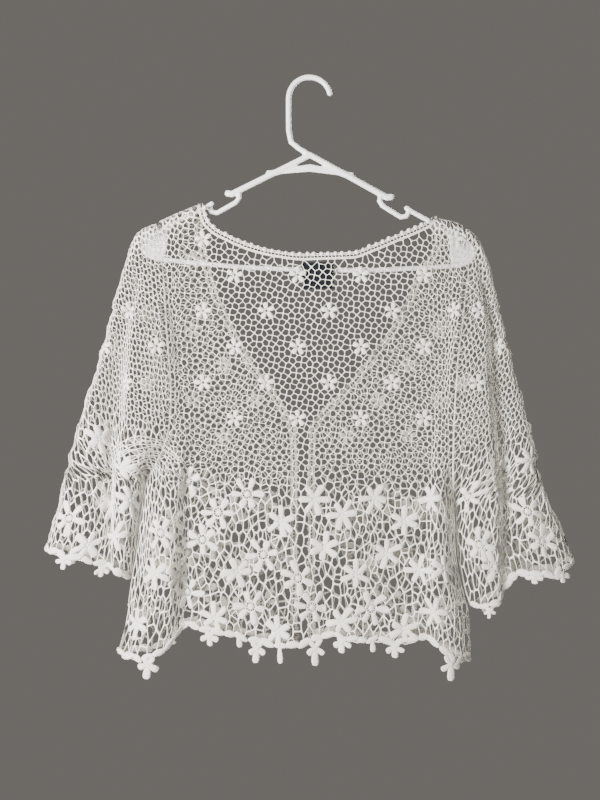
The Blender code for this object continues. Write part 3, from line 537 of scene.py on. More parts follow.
class Lace:
    """Vertices in (cloth length, height, lift) and faces, all of one piece."""

    def __init__(self, sheet):
        self.sheet = sheet
        self.rows = []
        self.count = 0
        self.faces = []

    def add(self, points, faces):
        points = np.asarray(points, float)
        start = self.count
        self.rows.append(points)
        self.count += len(points)
        self.faces += [tuple(i + start for i in face) for face in faces]

    def strand(self, path, half_width, half_height, lift=0.0):
        """A thread along a path, with a lozenge section that smooth shading rounds."""
        path = np.asarray(path, float)
        ahead = np.gradient(path, axis=0)
        ahead /= np.maximum(np.linalg.norm(ahead, axis=1), 1e-9)[:, None]
        across = np.stack([-ahead[:, 1], ahead[:, 0]], axis=1) * half_width
        n = len(path)
        points = []
        for p, c in zip(path, across):
            points += [(*(p + c), lift), (*p, lift + half_height), (*(p - c), lift),
                       (*p, lift - half_height)]
        faces = []
        for i in range(n - 1):
            a = 4 * i
            faces += [(a + k, a + 4 + k, a + 4 + (k + 1) % 4, a + (k + 1) % 4) for k in range(4)]
        faces += [(3, 2, 1, 0), tuple(4 * (n - 1) + k for k in range(4))]
        self.add(points, faces)

    def petal(self, centre, angle, start, length, width, bend=0.0, lift=0.35, height=1.25,
              stations=PETAL_STATIONS):
        """A padded leaf that grows away from a centre, with a slight groove along it."""
        ax, az = math.cos(angle), math.sin(angle)
        points = []
        for t, size in stations:
            along = start + length * t
            for side, rise in PETAL_SECTION:
                across = width / 2 * size * side + bend * length * t * t
                points.append((
                    centre[0] + ax * along - az * across,
                    centre[1] + az * along + ax * across,
                    lift + height * rise * min(1.0, size + 0.2),
                ))
        self.add(points, lofted(len(stations), len(PETAL_SECTION)))

    def ring(self, centre, radius, half_width, half_height, sides, lift=0.3):
        """A ring of thread."""
        points, faces = [], []
        for k in range(sides):
            angle = 2 * math.pi * k / sides
            for r, rise in ((radius + half_width, 0), (radius, half_height), (radius - half_width, 0),
                            (radius, -half_height)):
                points.append((centre[0] + r * math.cos(angle), centre[1] + r * math.sin(angle),
                               lift + rise))
            a, b = 4 * k, 4 * ((k + 1) % sides)
            faces += [(a + j, a + (j + 1) % 4, b + (j + 1) % 4, b + j) for j in range(4)]
        self.add(points, faces)

    def ball(self, centre, radius, lift=0.0, height=2.2, sides=8):
        """A bobble, a little flattened against the cloth."""
        points = []
        for rise, size in BALL_LEVELS:
            for k in range(sides):
                angle = 2 * math.pi * k / sides
                points.append((centre[0] + radius * size * math.cos(angle),
                               centre[1] + radius * size * math.sin(angle), lift + height * rise))
        self.add(points, lofted(len(BALL_LEVELS), sides))

    def made(self, name, finish):
        """The piece, which also carries its relief for the finish to read."""
        rows = np.concatenate(self.rows)
        piece = solid(name, self.sheet.placed(*rows.T).tolist(), self.faces, finish)
        relief = piece.data.attributes.new("relief", "FLOAT", "POINT")
        relief.data.foreach_set("value", np.clip((rows[:, 2] + RELIEF_BASE) / RELIEF_REACH, 0, 1))
        return piece


class Grain:
    """A panel's own coordinates, in which its cells are as high as wide: border cells are long,
    and cells where the cloth is gathered are narrow. Heights are counted from the hem."""

    HEIGHTS = np.linspace(-60.0, 620.0, 1361)
    ALONG = np.linspace(-420.0, 420.0, 1681)

    def __init__(self, hem_line, gathers):
        self.slope, self.base = np.polyfit(hem_line[:, 0], hem_line[:, 1], 1)
        rate = np.ones(len(self.ALONG))
        for start, end, more in gathers:
            inside = soft(share_of(self.ALONG, start - 9, start + 9))
            inside = inside * soft(share_of(self.ALONG, end + 9, end - 9))
            rate = rate + (more - 1) * inside
        self.drawn = np.concatenate([[0], np.cumsum(rate[:-1] * np.diff(self.ALONG))])
        self.drawn -= np.interp(0.0, self.ALONG, self.drawn)
        above = soft(share_of(self.HEIGHTS, BORDER_HEIGHT - BORDER_BLEND, BORDER_HEIGHT + BORDER_BLEND))
        rate = BORDER_STRETCH + (1 - BORDER_STRETCH) * above
        self.grown = np.concatenate([[0], np.cumsum(rate[:-1] * np.diff(self.HEIGHTS))])
        self.grown -= np.interp(0.0, self.HEIGHTS, self.grown)

    def to_net(self, flat):
        """(cloth length, height z) to the net's own space."""
        above = flat[:, 1] - self.slope * flat[:, 0] - self.base
        across = np.interp(flat[:, 0], self.ALONG, self.drawn)
        return np.stack([across, np.interp(above, self.HEIGHTS, self.grown)], axis=1)

    def to_cloth(self, net):
        above = np.interp(net[:, 1], self.grown, self.HEIGHTS)
        u = np.interp(net[:, 0], self.drawn, self.ALONG)
        return np.stack([u, above + self.slope * u + self.base], axis=1)

    def above_hem(self, net):
        return np.interp(net[:, 1], self.grown, self.HEIGHTS)


def basket_seeds(low, high, angle):
    """Cell middles of a net of pentagons, which lie in turned pairs like basket weave."""
    p, shift = NET_PITCH, NET_SHIFT
    reach = int(max(high - low) / p * 0.75) + 3
    middle = (low + high) / 2
    seeds = []
    for i in range(-reach, reach):
        for j in range(-reach, reach):
            turned = 1 if (i + j) % 2 else -1
            seeds.append((i * p + turned * shift, (j + 0.5) * p))
            seeds.append(((i + 0.5) * p, j * p - turned * shift))
    seeds = np.array(seeds)
    c, s = math.cos(angle), math.sin(angle)
    return seeds @ np.array([[c, s], [-s, c]]) + middle


def scattered_seeds(low, high, chance, distance_at):
    """Cell middles thrown at random, never closer together than the distance wanted there."""
    cell = BORDER_CELL[0] / 1.5
    taken = {}
    kept = []
    tries = int((high - low).prod() / 6.0)
    throws = low + chance.random((tries, 2)) * (high - low)
    for (x, y), reach in zip(throws, distance_at(throws)):
        i, j = int(x // cell), int(y // cell)
        span = int(reach // cell) + 1
        clear = True
        for a in range(i - span, i + span + 1):
            for b in range(j - span, j + span + 1):
                other = taken.get((a, b))
                if other and (other[0] - x) ** 2 + (other[1] - y) ** 2 < reach * reach:
                    clear = False
        if clear:
            taken[i, j] = (x, y)
            kept.append((x, y))
    return np.array(kept)


def cells_of(seeds, outline):
    """The cell round each seed: knots in the net's space, and each cell's knots in turn."""
    foot, away = nearest_on(outline, seeds)
    beside = away < GHOST_REACH
    ghosts = 2 * foot[beside] - seeds[beside]
    points = np.concatenate([seeds, ghosts])
    flat = [Vector(p) for p in points]
    made, _, triangles, sources, _, _ = delaunay_2d_cdt(flat, [], [], 0, 1e-6)
    p = np.array(made)
    t = np.array(triangles)
    a, b, c = p[t[:, 0]], p[t[:, 1]], p[t[:, 2]]
    ab, ac = b - a, c - a
    d = 2 * (ab[:, 0] * ac[:, 1] - ab[:, 1] * ac[:, 0])
    d = np.where(np.abs(d) < 1e-9, 1e-9, d)
    bb, cc = (ab**2).sum(1), (ac**2).sum(1)
    from_a = np.stack([ac[:, 1] * bb - ab[:, 1] * cc, ab[:, 0] * cc - ac[:, 0] * bb], axis=1)
    knots = a + from_a / d[:, None]
    limit_low, limit_high = outline.min(axis=0) - 5, outline.max(axis=0) + 5
    knots = np.clip(knots, limit_low, limit_high)
    out = ~is_inside(outline, knots)
    if out.any():
        knots[out] = nearest_on(outline, knots[out])[0]
    merged = merge_knots(knots, t)
    touching = {}
    for index, triangle in enumerate(triangles):
        for vertex in triangle:
            touching.setdefault(vertex, []).append(index)
    cells = {}
    for vertex, mine in touching.items():
        real = [s for s in sources[vertex] if s < len(seeds)]
        if not real:
            continue
        ring = np.array(mine)
        out_from = knots[ring] - p[vertex]
        ring = ring[np.argsort(np.arctan2(out_from[:, 1], out_from[:, 0]))]
        turn = []
        for knot in merged[ring]:
            if knot not in turn:
                turn.append(int(knot))
        if len(turn) > 2:
            cells[real[0]] = turn
    return knots, cells


def merge_knots(knots, triangles):
    """For each knot the number of the one it is merged into; merged knots move to their middle."""
    owner = np.arange(len(knots))

    def root(i):
        while owner[i] != i:
            owner[i] = owner[owner[i]]
            i = owner[i]
        return i

    sides = {}
    for index, triangle in enumerate(triangles):
        for k in range(3):
            sides.setdefault(tuple(sorted((triangle[k], triangle[k - 1]))), []).append(index)
    for pair in sides.values():
        if len(pair) == 2 and np.linalg.norm(knots[pair[0]] - knots[pair[1]]) < MERGE:
            owner[root(pair[0])] = root(pair[1])
    roots = np.array([root(i) for i in range(len(knots))])
    total = np.zeros_like(knots)
    number = np.zeros(len(knots))
    np.add.at(total, roots, knots)
    np.add.at(number, roots, 1)
    kept = number > 0
    knots[kept] = total[kept] / number[kept][:, None]
    return roots


def relaxed(seeds, free, outline, rounds):
    """Free seeds moved to the middles of their cells, so that the cells even out."""
    seeds = seeds.copy()
    for _ in range(rounds):
        knots, cells = cells_of(seeds, outline)
        for index, turn in cells.items():
            if free[index]:
                seeds[index] = knots[turn].mean(axis=0)
    return seeds


def spaced(seeds, others, distance):
    """The seeds that are further than this from all the others."""
    if not len(others):
        return seeds
    keep = np.ones(len(seeds), bool)
    for other in others:
        keep &= np.linalg.norm(seeds - other, axis=1) > distance
    return seeds[keep]


# Finishes

class Maths:
    """A shader value that adds, takes away, multiplies and divides like a number."""

    def __init__(self, net, socket):
        self.net, self.socket = net, socket

    def done(self, operation, *values, clamp=False):
        return self.net.node(
            "ShaderNodeMath", {"operation": operation, "use_clamp": clamp}, dict(enumerate(values))
        )

    def __add__(self, other):
        return self.done("ADD", self, other)

    def __sub__(self, other):
        return self.done("SUBTRACT", self, other)

    def __mul__(self, other):
        return self.done("MULTIPLY", self, other)

    def __truediv__(self, other):
        return self.done("DIVIDE", self, other)

    def __rsub__(self, other):
        return self.done("SUBTRACT", other, self)

    def __rtruediv__(self, other):
        return self.done("DIVIDE", other, self)

    __radd__ = __add__
    __rmul__ = __mul__

    def sine(self):
        return self.done("SINE", self)

    def clamped(self):
        return self.done("ADD", self, 0.0, clamp=True)

    def smooth(self, start, end):
        """0 below start, 1 above end, eased between."""
        t = ((self - start) / (end - start)).clamped()
        return t * t * (3 - 2 * t)


class Finish:
    """A material's node tree."""

    def __init__(self, name):
        self.material = bpy.data.materials.new(name)
        self.material.use_nodes = True
        self.tree = self.material.node_tree
        self.shader = self.tree.nodes["Principled BSDF"]

    def node(self, kind, settings=None, inputs=None, output=0):
        made = self.tree.nodes.new(kind)
        for key, value in (settings or {}).items():
            setattr(made, key, value)
        for key, value in (inputs or {}).items():
            self.fill(made.inputs[key], value)
        return Maths(self, made.outputs[output])

    def fill(self, socket, value):
        if isinstance(value, Maths):
            self.tree.links.new(value.socket, socket)
        else:
            socket.default_value = value

    def place(self):
        return self.node("ShaderNodeTexCoord", output="Object")

    def axes(self):
        """The piece's own x, y and z."""
        parts = self.node("ShaderNodeSeparateXYZ", None, {"Vector": self.place()})
        return [Maths(self, socket) for socket in parts.socket.node.outputs]

    def noise(self, scale, detail=2.0, roughness=0.5):
        inputs = {"Vector": self.place(), "Scale": scale, "Detail": detail, "Roughness": roughness}
        return self.node("ShaderNodeTexNoise", None, inputs)

    def mixed(self, share, first, second):
        """One colour passing into another."""
        return self.node("ShaderNodeMix", {"data_type": "RGBA"}, {0: share, 6: first, 7: second}, 2)

    def bump(self, height, distance, strength=1.0):
        return self.node(
            "ShaderNodeBump", None, {"Height": height, "Distance": distance, "Strength": strength}
        )

    def surface(self, **inputs):
        """Shader inputs by name, with _ for a space."""
        for key, value in inputs.items():
            self.fill(self.shader.inputs[key.replace("_", " ")], value)
        return self.material


def darker(colour, *shares):
    return tuple(value * share for value, share in zip(colour, shares)) + (1,)


def cotton(name, pale, deep, ply):
    """Cotton thread: twisted plies as fine ridges, cream in places, shaded down to its hollows."""
    finish = Finish(name)
    x, y, z = finish.axes()
    cloudy = finish.noise(9.0, 3.0).smooth(0.35, 0.7)
    fine = finish.noise(420.0, 2.0)
    twist = ((x * 0.8 + z + y * 0.6 + fine * 0.0009) * ply).sine() * 0.5 + 0.5
    colour = finish.mixed(cloudy * 0.6 + fine * 0.4, pale, deep)
    shade = finish.mixed(twist * 0.16, colour, darker(deep, 0.82, 0.8, 0.76))
    relief = finish.node("ShaderNodeAttribute", {"attribute_name": "relief"}, output="Fac")
    shade = finish.mixed(relief.smooth(0.28, 0.62), darker(deep, 0.58, 0.57, 0.54), shade)
    # Painted shade: the highest parts, the tops of petals and bobbles, are dimmed unevenly towards a
    # darker cream
    wear_and_top_shade = darker(deep, 0.8, 0.79, 0.77)
    shade = finish.mixed(relief.smooth(0.68, 0.9) * (0.25 + 0.5 * cloudy), shade, wear_and_top_shade)
    return finish.surface(
        Base_Color=shade, Roughness=0.86 + 0.1 * fine,
        Normal=finish.bump(twist + fine * 0.8, 0.00022),
        Sheen_Weight=0.25, Sheen_Roughness=0.45, Specular_IOR_Level=0.3,
    )


def moulded(name):
    """Glossy white plastic with faint moulding flow and a little wear."""
    finish = Finish(name)
    flow = finish.noise(38.0, 3.0)
    wear_and_top_shade = finish.noise(260.0, 4.0, 0.6).smooth(0.55, 0.75)
    colour = finish.mixed(flow, (0.80, 0.805, 0.82, 1), (0.86, 0.862, 0.87, 1))
    return finish.surface(
        Base_Color=colour, Roughness=0.24 + 0.12 * flow + 0.1 * wear_and_top_shade,
        Normal=finish.bump(flow, 0.0004, 0.3), Coat_Weight=0.15, Coat_Roughness=0.2,
    )


def woven(name):
    """A dark woven label: a fine twill with a slight lustre."""
    finish = Finish(name)
    x, _, z = finish.axes()
    across, along = (x * 9000.0).sine(), (z * 9000.0).sine()
    twill = ((x + z) * 5200.0).sine() * 0.5 + 0.5
    weave = across * along * 0.25 + twill * 0.5 + 0.25
    patches = finish.noise(120.0, 3.0)
    share = weave * 0.6 + patches * 0.3
    colour = finish.mixed(share, (0.003, 0.004, 0.006, 1), (0.009, 0.012, 0.018, 1))
    return finish.surface(
        Base_Color=colour, Roughness=0.78 + 0.2 * patches, Normal=finish.bump(weave, 0.00012),
        Specular_IOR_Level=0.15,
    )


LACE_COTTON = cotton("cream cotton of the net", (0.86, 0.845, 0.80, 1), (0.78, 0.755, 0.69, 1), 4200.0)
EDGING_COTTON = cotton("cotton of the edging", (0.88, 0.866, 0.825, 1), (0.79, 0.765, 0.70, 1), 3600.0)
STITCH_COTTON = cotton("stitching thread", (0.75, 0.74, 0.70, 1), (0.6, 0.58, 0.54, 1), 5200.0)
HANGER_PLASTIC = moulded("glossy white plastic")
LABEL_CLOTH = woven("dark woven label")


# Panels of lace

def flower_places(outline, hem, phase, large_rows, chance, small_start, small_phase):
    """Where the large and small flowers sit, as cloth lengths and heights."""
    slope, base = np.polyfit(hem[:, 0], hem[:, 1], 1)
    low, high = outline.min(axis=0), outline.max(axis=0)
    across = high[0] - low[0]
    large = []
    for row, above in enumerate(large_rows):
        start = phase + (0.5 * MOTIF_PITCH if row % 2 else 0.0)
        count = int(across / MOTIF_PITCH) + 3
        for i in range(-count, count + 1):
            u = start + i * MOTIF_PITCH + chance.normal(0, MOTIF_UNEVEN)
            up = above + (MOTIF_ZIGZAG if i % 2 else -MOTIF_ZIGZAG) + chance.normal(0, MOTIF_UNEVEN)
            large.append((u, np.interp(u, hem[:, 0], hem[:, 1]) + up))
    small = []
    rows = int((small_start - low[1]) / SMALL_ROW_PITCH) + 2
    for row in range(-1, rows):
        z = small_start - row * SMALL_ROW_PITCH
        start = small_phase + (0.0 if row % 2 == 0 else 0.5 * SMALL_PITCH)
        count = int(across / SMALL_PITCH) + 3
        for i in range(-count, count + 1):
            u = start + i * SMALL_PITCH
            if z - slope * u - base > BORDER_HEIGHT + SMALL_ABOVE_BORDER:
                small.append((u, z))
    chosen = []
    for places, room in ((large, LARGE_ROOM), (small, SMALL_ROOM)):
        places = np.array(places).reshape(-1, 2)
        places = places[is_inside(outline, places)]
        if len(places):
            places = places[nearest_on(outline, places)[1] > room]
        chosen.append(places)
    return chosen


def around(centre, radii_and_angles):
    return [(centre[0] + r * math.cos(a), centre[1] + r * math.sin(a)) for r, a in radii_and_angles]


def cells_round_flowers(large, small, turns):
    """The fixed seeds: one under each flower, and those between and past its petals."""
    reach, spread = LARGE_OUTER
    fixed = []
    for place, turn in zip(large, turns):
        between = [(LARGE_BETWEEN, turn + math.radians(30 + 60 * k)) for k in range(6)]
        outer = [(reach, turn + math.radians(60 * k + s)) for k in range(6) for s in (-spread, spread)]
        fixed += around(place, [(0.0, 0.0)] + between + outer)
    for place in small:
        turn = small_turn(place)
        between = [(SMALL_BETWEEN, turn + math.radians(36 + 72 * k)) for k in range(5)]
        fixed += around(place, [(0.0, 0.0)] + between)
    return np.array(fixed).reshape(-1, 2)


def net_seeds(grain, outline, net_outline, large, small, turns, chance, fine_angle):
    """The seeds of a panel's cells, in the net's space, and which of them may move."""
    low, high = net_outline.min(axis=0), net_outline.max(axis=0)
    edge = BORDER_HEIGHT + 6.0
    fine = basket_seeds(low, high, fine_angle)
    fine = fine + chance.normal(0.0, NET_JITTER, fine.shape)
    wander = edge + 9 * np.sin(fine[:, 0] / 23.0) + chance.normal(0, 4.0, len(fine))
    fine = fine[grain.above_hem(fine) > wander]

    def spacing(points):
        above = grain.above_hem(points)
        patch = 0.5 + 0.5 * np.sin(points[:, 0] / 11.0 + 2.1) * np.sin(points[:, 1] / 8.5 + 0.7)
        size = BORDER_CELL[0] + (BORDER_CELL[1] - BORDER_CELL[0]) * patch**2
        return size + HEM_CELL_GROWTH * soft(share_of(above, 100.0, 30.0)) * patch**2

    border_top = np.interp(edge + 14, grain.HEIGHTS, grain.grown)
    coarse = scattered_seeds(low, np.array([high[0], border_top]), chance, spacing)
    coarse = coarse[grain.above_hem(coarse) < edge + 12]
    coarse = spaced(coarse, fine[grain.above_hem(fine) < edge + 30], FINE_CLEAR)
    loose = np.concatenate([fine, coarse])
    can_move = np.concatenate([np.zeros(len(fine), bool), np.ones(len(coarse), bool)])
    inside = is_inside(net_outline, loose)
    loose, can_move = loose[inside], can_move[inside]
    away = nearest_on(net_outline, loose)[1]
    loose, can_move = loose[away > EDGE_CLEAR], can_move[away > EDGE_CLEAR]
    cloth = grain.to_cloth(loose)
    keep = np.ones(len(loose), bool)
    for places, clear in ((large, LARGE_CLEAR), (small, SMALL_CLEAR)):
        for place in places:
            keep &= np.linalg.norm(cloth - place, axis=1) > clear
    loose, can_move = loose[keep], can_move[keep]
    fixed = cells_round_flowers(large, small, turns)
    if len(fixed):
        fixed = grain.to_net(fixed[is_inside(outline, fixed)])
        fixed = fixed[nearest_on(net_outline, fixed)[1] > MERGE]
        clear = np.ones(len(loose), bool)
        for point in fixed:
            clear &= np.linalg.norm(loose - point, axis=1) > CELL_CLEAR
        loose = np.concatenate([loose[clear], fixed])
        can_move = np.concatenate([can_move[clear], np.zeros(len(fixed), bool)])
    return loose, can_move


def small_turn(place):
    return math.pi / 2 + 0.25 * math.sin(place[0] * 0.37 + place[1] * 0.11)


def net_of(lace, grain, net_outline, seeds, thread_at, chance):
    """Adds the threads round every cell: a rounded ridge along each side of a cell."""
    knots, cells = cells_of(seeds, net_outline)
    cloth = grain.to_cloth(knots)
    used = sorted({knot for turn in cells.values() for knot in turn})
    number = {knot: i for i, knot in enumerate(used)}
    places = cloth[used]
    waver = chance.normal(0.0, THREAD_LIFT_SPREAD, len(used))
    rise = THREAD_HALF_HEIGHT * (1.0 + KNOT_SPREAD * chance.random(len(used)))
    top = np.column_stack([places, waver + rise])
    below = np.column_stack([places, waver - rise])
    n = len(used)
    points = [top, below]
    count = 2 * n
    faces = []
    sides = {}
    half_widths = thread_at(places) * chance.uniform(1 - THREAD_SPREAD, 1 + THREAD_SPREAD, n)
    for turn in cells.values():
        ring = np.array([number[k] for k in turn])
        corners = places[ring]
        following = np.roll(corners, -1, axis=0)
        cross = corners[:, 0] * following[:, 1] - following[:, 0] * corners[:, 1]
        area = cross.sum() / 2
        if abs(area) < SMALLEST_CELL:
            continue
        middle = ((corners + following) * cross[:, None]).sum(axis=0) / 6 / area
        along = following - corners
        length = np.linalg.norm(along, axis=1)
        to_middle = middle - corners
        away = np.abs(along[:, 0] * to_middle[:, 1] - along[:, 1] * to_middle[:, 0])
        away = away / np.maximum(length, 1e-6)
        before = np.roll(away, 1)
        taken = half_widths[ring] * 0.5 * (1 / np.maximum(away, 0.6) + 1 / np.maximum(before, 0.6))
        shrink = 1 - np.clip(taken, 0.05, 0.86)
        inner = middle + (corners - middle) * shrink[:, None]
        nxt, prv = np.roll(inner, -1, axis=0), np.roll(inner, 1, axis=0)
        first = inner + CELL_CORNER * (prv - inner)
        second = inner + CELL_CORNER * (nxt - inner)
        level = waver[ring]
        m = len(ring)
        hole = np.empty((2 * m, 3))
        hole[0::2, :2], hole[1::2, :2] = first, second
        hole[0::2, 2] = hole[1::2, 2] = level * 0.6
        points.append(hole)
        for k in range(m):
            a, b = int(ring[k]), int(ring[(k + 1) % m])
            p, q, r = count + 2 * k, count + 2 * k + 1, count + 2 * ((k + 1) % m)
            faces += [(a, q, p), (a, b, r, q), (a + n, p, q), (a + n, q, r, b + n)]
            key = (a, b) if a < b else (b, a)
            sides[key] = sides.get(key, 0) + 1
        count += 2 * m
    faces += [(a, b, b + n, a + n) for (a, b), uses in sides.items() if uses == 1]
    lace.add(np.concatenate(points), faces)


def thread_sizes(grain, sheet):
    """The net's thread: a little stouter in the border, and dense on top of the shoulders."""
    def thread_at(places):
        above = places[:, 1] - grain.slope * places[:, 0] - grain.base
        share = soft(share_of(above, BORDER_HEIGHT + 20, BORDER_HEIGHT - 20))
        x = sheet.x_at(places[:, 0], places[:, 1])
        below = crest_z(x) - places[:, 1]
        shoulder = soft(share_of(below, 36, 8)) * soft(share_of(np.abs(x), 126, 150))
        top = soft(share_of(below, 21, 13)) * soft(share_of(np.abs(x), 106, 118))
        shoulder = np.maximum(shoulder, CREST_DENSITY * top)
        wider = BORDER_THREAD_HALF_WIDTH - THREAD_HALF_WIDTH
        return THREAD_HALF_WIDTH + wider * share + SHOULDER_DENSITY * shoulder
    return thread_at


def large_flower(lace, centre, turn, ringed, chance, outline):
    """Six blunt petals round a dot in a ring of small holes, or grown together in the middle."""
    start, length, width = RINGED_PETAL if ringed else SOLID_PETAL
    lace.ball(centre, LARGE_DISC if ringed else SOLID_DISC, 0.3, 1.1, 12)
    if ringed:
        for k in range(LARGE_SPOKES):
            a = turn + 2 * math.pi * k / LARGE_SPOKES
            path = around(centre, [(LARGE_DISC - 0.8, a), (LARGE_RING, a)])
            lace.strand(path, 0.48, 0.6, 0.3)
        lace.ring(centre, LARGE_RING, 0.85, 0.95, 20)
    for k in range(6):
        angle = turn + math.radians(60 * k) + chance.normal(0, PETAL_SPREAD)
        long, broad = length * chance.uniform(0.8, 1.2), width * chance.uniform(0.8, 1.12)
        while long > SHORTEST_PETAL and not is_inside(outline, tip_of(centre, angle, start + long)):
            long -= PETAL_TRIM
        lace.petal(centre, angle, start, long, broad, chance.normal(0, PETAL_SPREAD))


def tip_of(centre, angle, reach):
    """The point just past a petal's end."""
    return np.array(around(centre, [(reach + 1.2, angle)]))


def small_flower(lace, centre):
    """Five short petals round a small hole."""
    start, length, width = SMALL_PETAL
    turn = small_turn(centre)
    lace.ring(centre, SMALL_RING, 0.6, 0.8, 10)
    for k in range(5):
        lace.petal(centre, turn + math.radians(72 * k), start, length, width, stations=SMALL_STATIONS)


def leafy_edge(lace, hem, chance):
    """Uneven leaves end to end along the hem, tilted by turns."""
    run = np.concatenate([[0], np.cumsum(np.linalg.norm(np.diff(hem, axis=0), axis=1))])
    count = max(1, round(run[-1] / LEAF_LENGTH))
    at = np.linspace(0, run[-1], count + 1)
    at[1:-1] += chance.normal(0, 1.6, count - 1)
    xs, zs = np.interp(at, run, hem[:, 0]), np.interp(at, run, hem[:, 1])
    for k in range(count):
        ax, az = xs[k + 1] - xs[k], zs[k + 1] - zs[k]
        tilt = (0.3 if k % 2 else -0.3) * chance.uniform(0.3, 1.3)
        rise = LEAF_WIDTH * 0.42 - 0.5 * tilt * math.hypot(ax, az)
        lace.petal((xs[k], zs[k] + rise), math.atan2(az, ax) + tilt, -0.6, math.hypot(ax, az) + 1.6,
                   LEAF_WIDTH * chance.uniform(0.8, 1.15), chance.normal(0, 0.08),
                   stations=LEAF_STATIONS)


def hung_petals(lace, sheet, hem, hem_line, petals, chance):
    """Three-lobed and single petals that hang from the hem."""
    for x, half_width, drop in zip(petals["x"], petals["half_width"], petals["drop"]):
        u = float(sheet.length_to(x, np.interp(x, hem_line[:, 0], hem_line[:, 1])))
        z = float(np.interp(u, hem[:, 0], hem[:, 1])) + 1.0
        down = -math.pi / 2 + chance.normal(0, 0.1)
        if half_width > TREFOIL_HALF_WIDTH:
            heart = (u, z - drop * 0.24)
            lace.petal(heart, down, 0.3, drop * 0.55, half_width * 0.6 * chance.uniform(0.85, 1.1),
                       chance.normal(0, 0.06), stations=DROP_STATIONS)
            for side in (-1, 1):
                tilt = math.atan2(-drop * 0.2, side * half_width * 0.8) + chance.normal(0, 0.12)
                lace.petal(heart, tilt, 0.3, half_width * chance.uniform(0.72, 0.9),
                           half_width * 0.54 * chance.uniform(0.85, 1.1), chance.normal(0, 0.08),
                           stations=DROP_STATIONS)
                lace.petal(heart, math.pi / 2 + side * 0.62, 0.3, drop * 0.36, 6.5,
                           stations=LEAF_STATIONS)
            lace.ball(heart, 3.2, 0.4, 1.3, 10)
        else:
            lace.petal((u, z + 1.0), down, 0.4, drop * 0.82, half_width * 1.4, stations=DROP_STATIONS)


def drawn_in(outline, joined, chance):
    """The outline moved inward by an uneven wave, as the last loops of a net leave it. Along the
    joined line it stays where it is."""
    ring = np.concatenate([outline, outline[:1]])
    run = np.concatenate([[0], np.cumsum(np.linalg.norm(np.diff(ring, axis=0), axis=1))])
    at = np.arange(0, run[-1], LOOP_STEP)
    line = np.stack([np.interp(at, run, ring[:, 0]), np.interp(at, run, ring[:, 1])], axis=1)
    ahead = np.roll(line, -1, axis=0) - np.roll(line, 1, axis=0)
    ahead /= np.maximum(np.linalg.norm(ahead, axis=1), 1e-9)[:, None]
    following = np.roll(line, -1, axis=0)
    turning = np.sign((line[:, 0] * following[:, 1] - following[:, 0] * line[:, 1]).sum())
    wave = 0.5 + 0.5 * np.sin(at / 2.2 + 1.3 * np.sin(at / 17.0 + chance.uniform(0, 6)))
    size = 0.1 + 1.5 * wave * (0.6 + 0.4 * np.sin(at / 9.7 + chance.uniform(0, 6)))
    away = np.linalg.norm(line[:, None] - joined[None], axis=2).min(axis=1)
    size = size * share_of(away, 2.2, 8.0)
    return line + turning * size[:, None] * np.stack([-ahead[:, 1], ahead[:, 0]], axis=1)


def gathered(lace, sheet, outline, centre, radii):
    """Threads of the net drawn into arcs over a place where the cloth is bunched."""
    chance = np.random.default_rng(41)
    for radius in radii:
        angles = np.radians(np.arange(chance.uniform(4, 70), chance.uniform(120, 182), 5.0))
        first, second = chance.uniform(0, 6, 2)
        r = radius + 1.7 * np.sin(angles * 3 + first) + 0.9 * np.sin(angles * 9 + second)
        arc = [centre[0] + r * np.cos(angles), centre[1] + 0.92 * r * np.sin(angles)]
        line = sheet.flat(np.stack(arc, axis=1))
        inside = is_inside(outline, line)
        breaks = np.flatnonzero(np.diff(inside.astype(int))) + 1
        for run, kept in zip(np.split(line, breaks), np.split(inside, breaks)):
            if kept[0] and len(run) > 2:
                lace.strand(run, 0.55, 0.7, 0.4)


def lace_panel(name, sheet, outline_line, hem_line, petals, phase, small, seed, gathers,
               joined, fine_angle=NET_ANGLE_NEAR, large_rows=BODY_ROWS, seams=(), bunched=None):
    """One cut piece: its net, flowers, leafy hem and seam threads. Its edge is looped apart from
    the joined line, where it is sewn on."""
    chance = np.random.default_rng(seed)
    outline = sheet.flat(outline_line)
    hem = sheet.flat(hem_line)
    outline = outline[np.linalg.norm(outline - np.roll(outline, 1, axis=0), axis=1) > 0.4]
    outline = drawn_in(outline, sheet.flat(joined), chance)
    grain = Grain(hem, gathers)
    net_outline = grain.to_net(outline)
    large, small_places = flower_places(outline, hem, phase, large_rows, chance, *small)
    small_places = spaced(small_places, large, SMALL_FROM_LARGE)
    turns = [chance.uniform(0, math.pi / 3) for _ in large]
    seeds, free = net_seeds(grain, outline, net_outline, large, small_places, turns, chance, fine_angle)
    seeds = relaxed(seeds, free, net_outline, 1)
    net = Lace(sheet)
    net_of(net, grain, net_outline, seeds, thread_sizes(grain, sheet), chance)
    for place, turn in zip(large, turns):
        large_flower(net, place, turn, chance.random() < 0.5, chance, outline)
    for place in small_places:
        small_flower(net, place)
    leafy_edge(net, hem, chance)
    if petals is not None:
        hung_petals(net, sheet, hem, hem_line, petals, chance)
    for line in seams:
        net.strand(sheet.flat(line), *SEAM_STRAND)
    if bunched:
        gathered(net, sheet, outline, *bunched)
    return net.made(name, LACE_COTTON)


def hem_between(curve, start, end):
    """The hem's points between two places along x."""
    line = along_curve(curve)
    line = line[(line[:, 0] > start + 1) & (line[:, 0] < end - 1)]
    ends = [(x, np.interp(x, curve["x"], curve["z"])) for x in (start, end)]
    return np.concatenate([[ends[0]], line, [ends[1]]])


# Where the cloth is bunched above the left armpit, and the radii of its arcs
BUNCHED = ((-194.0, -480.0), np.arange(12.0, 58.0, 3.7))

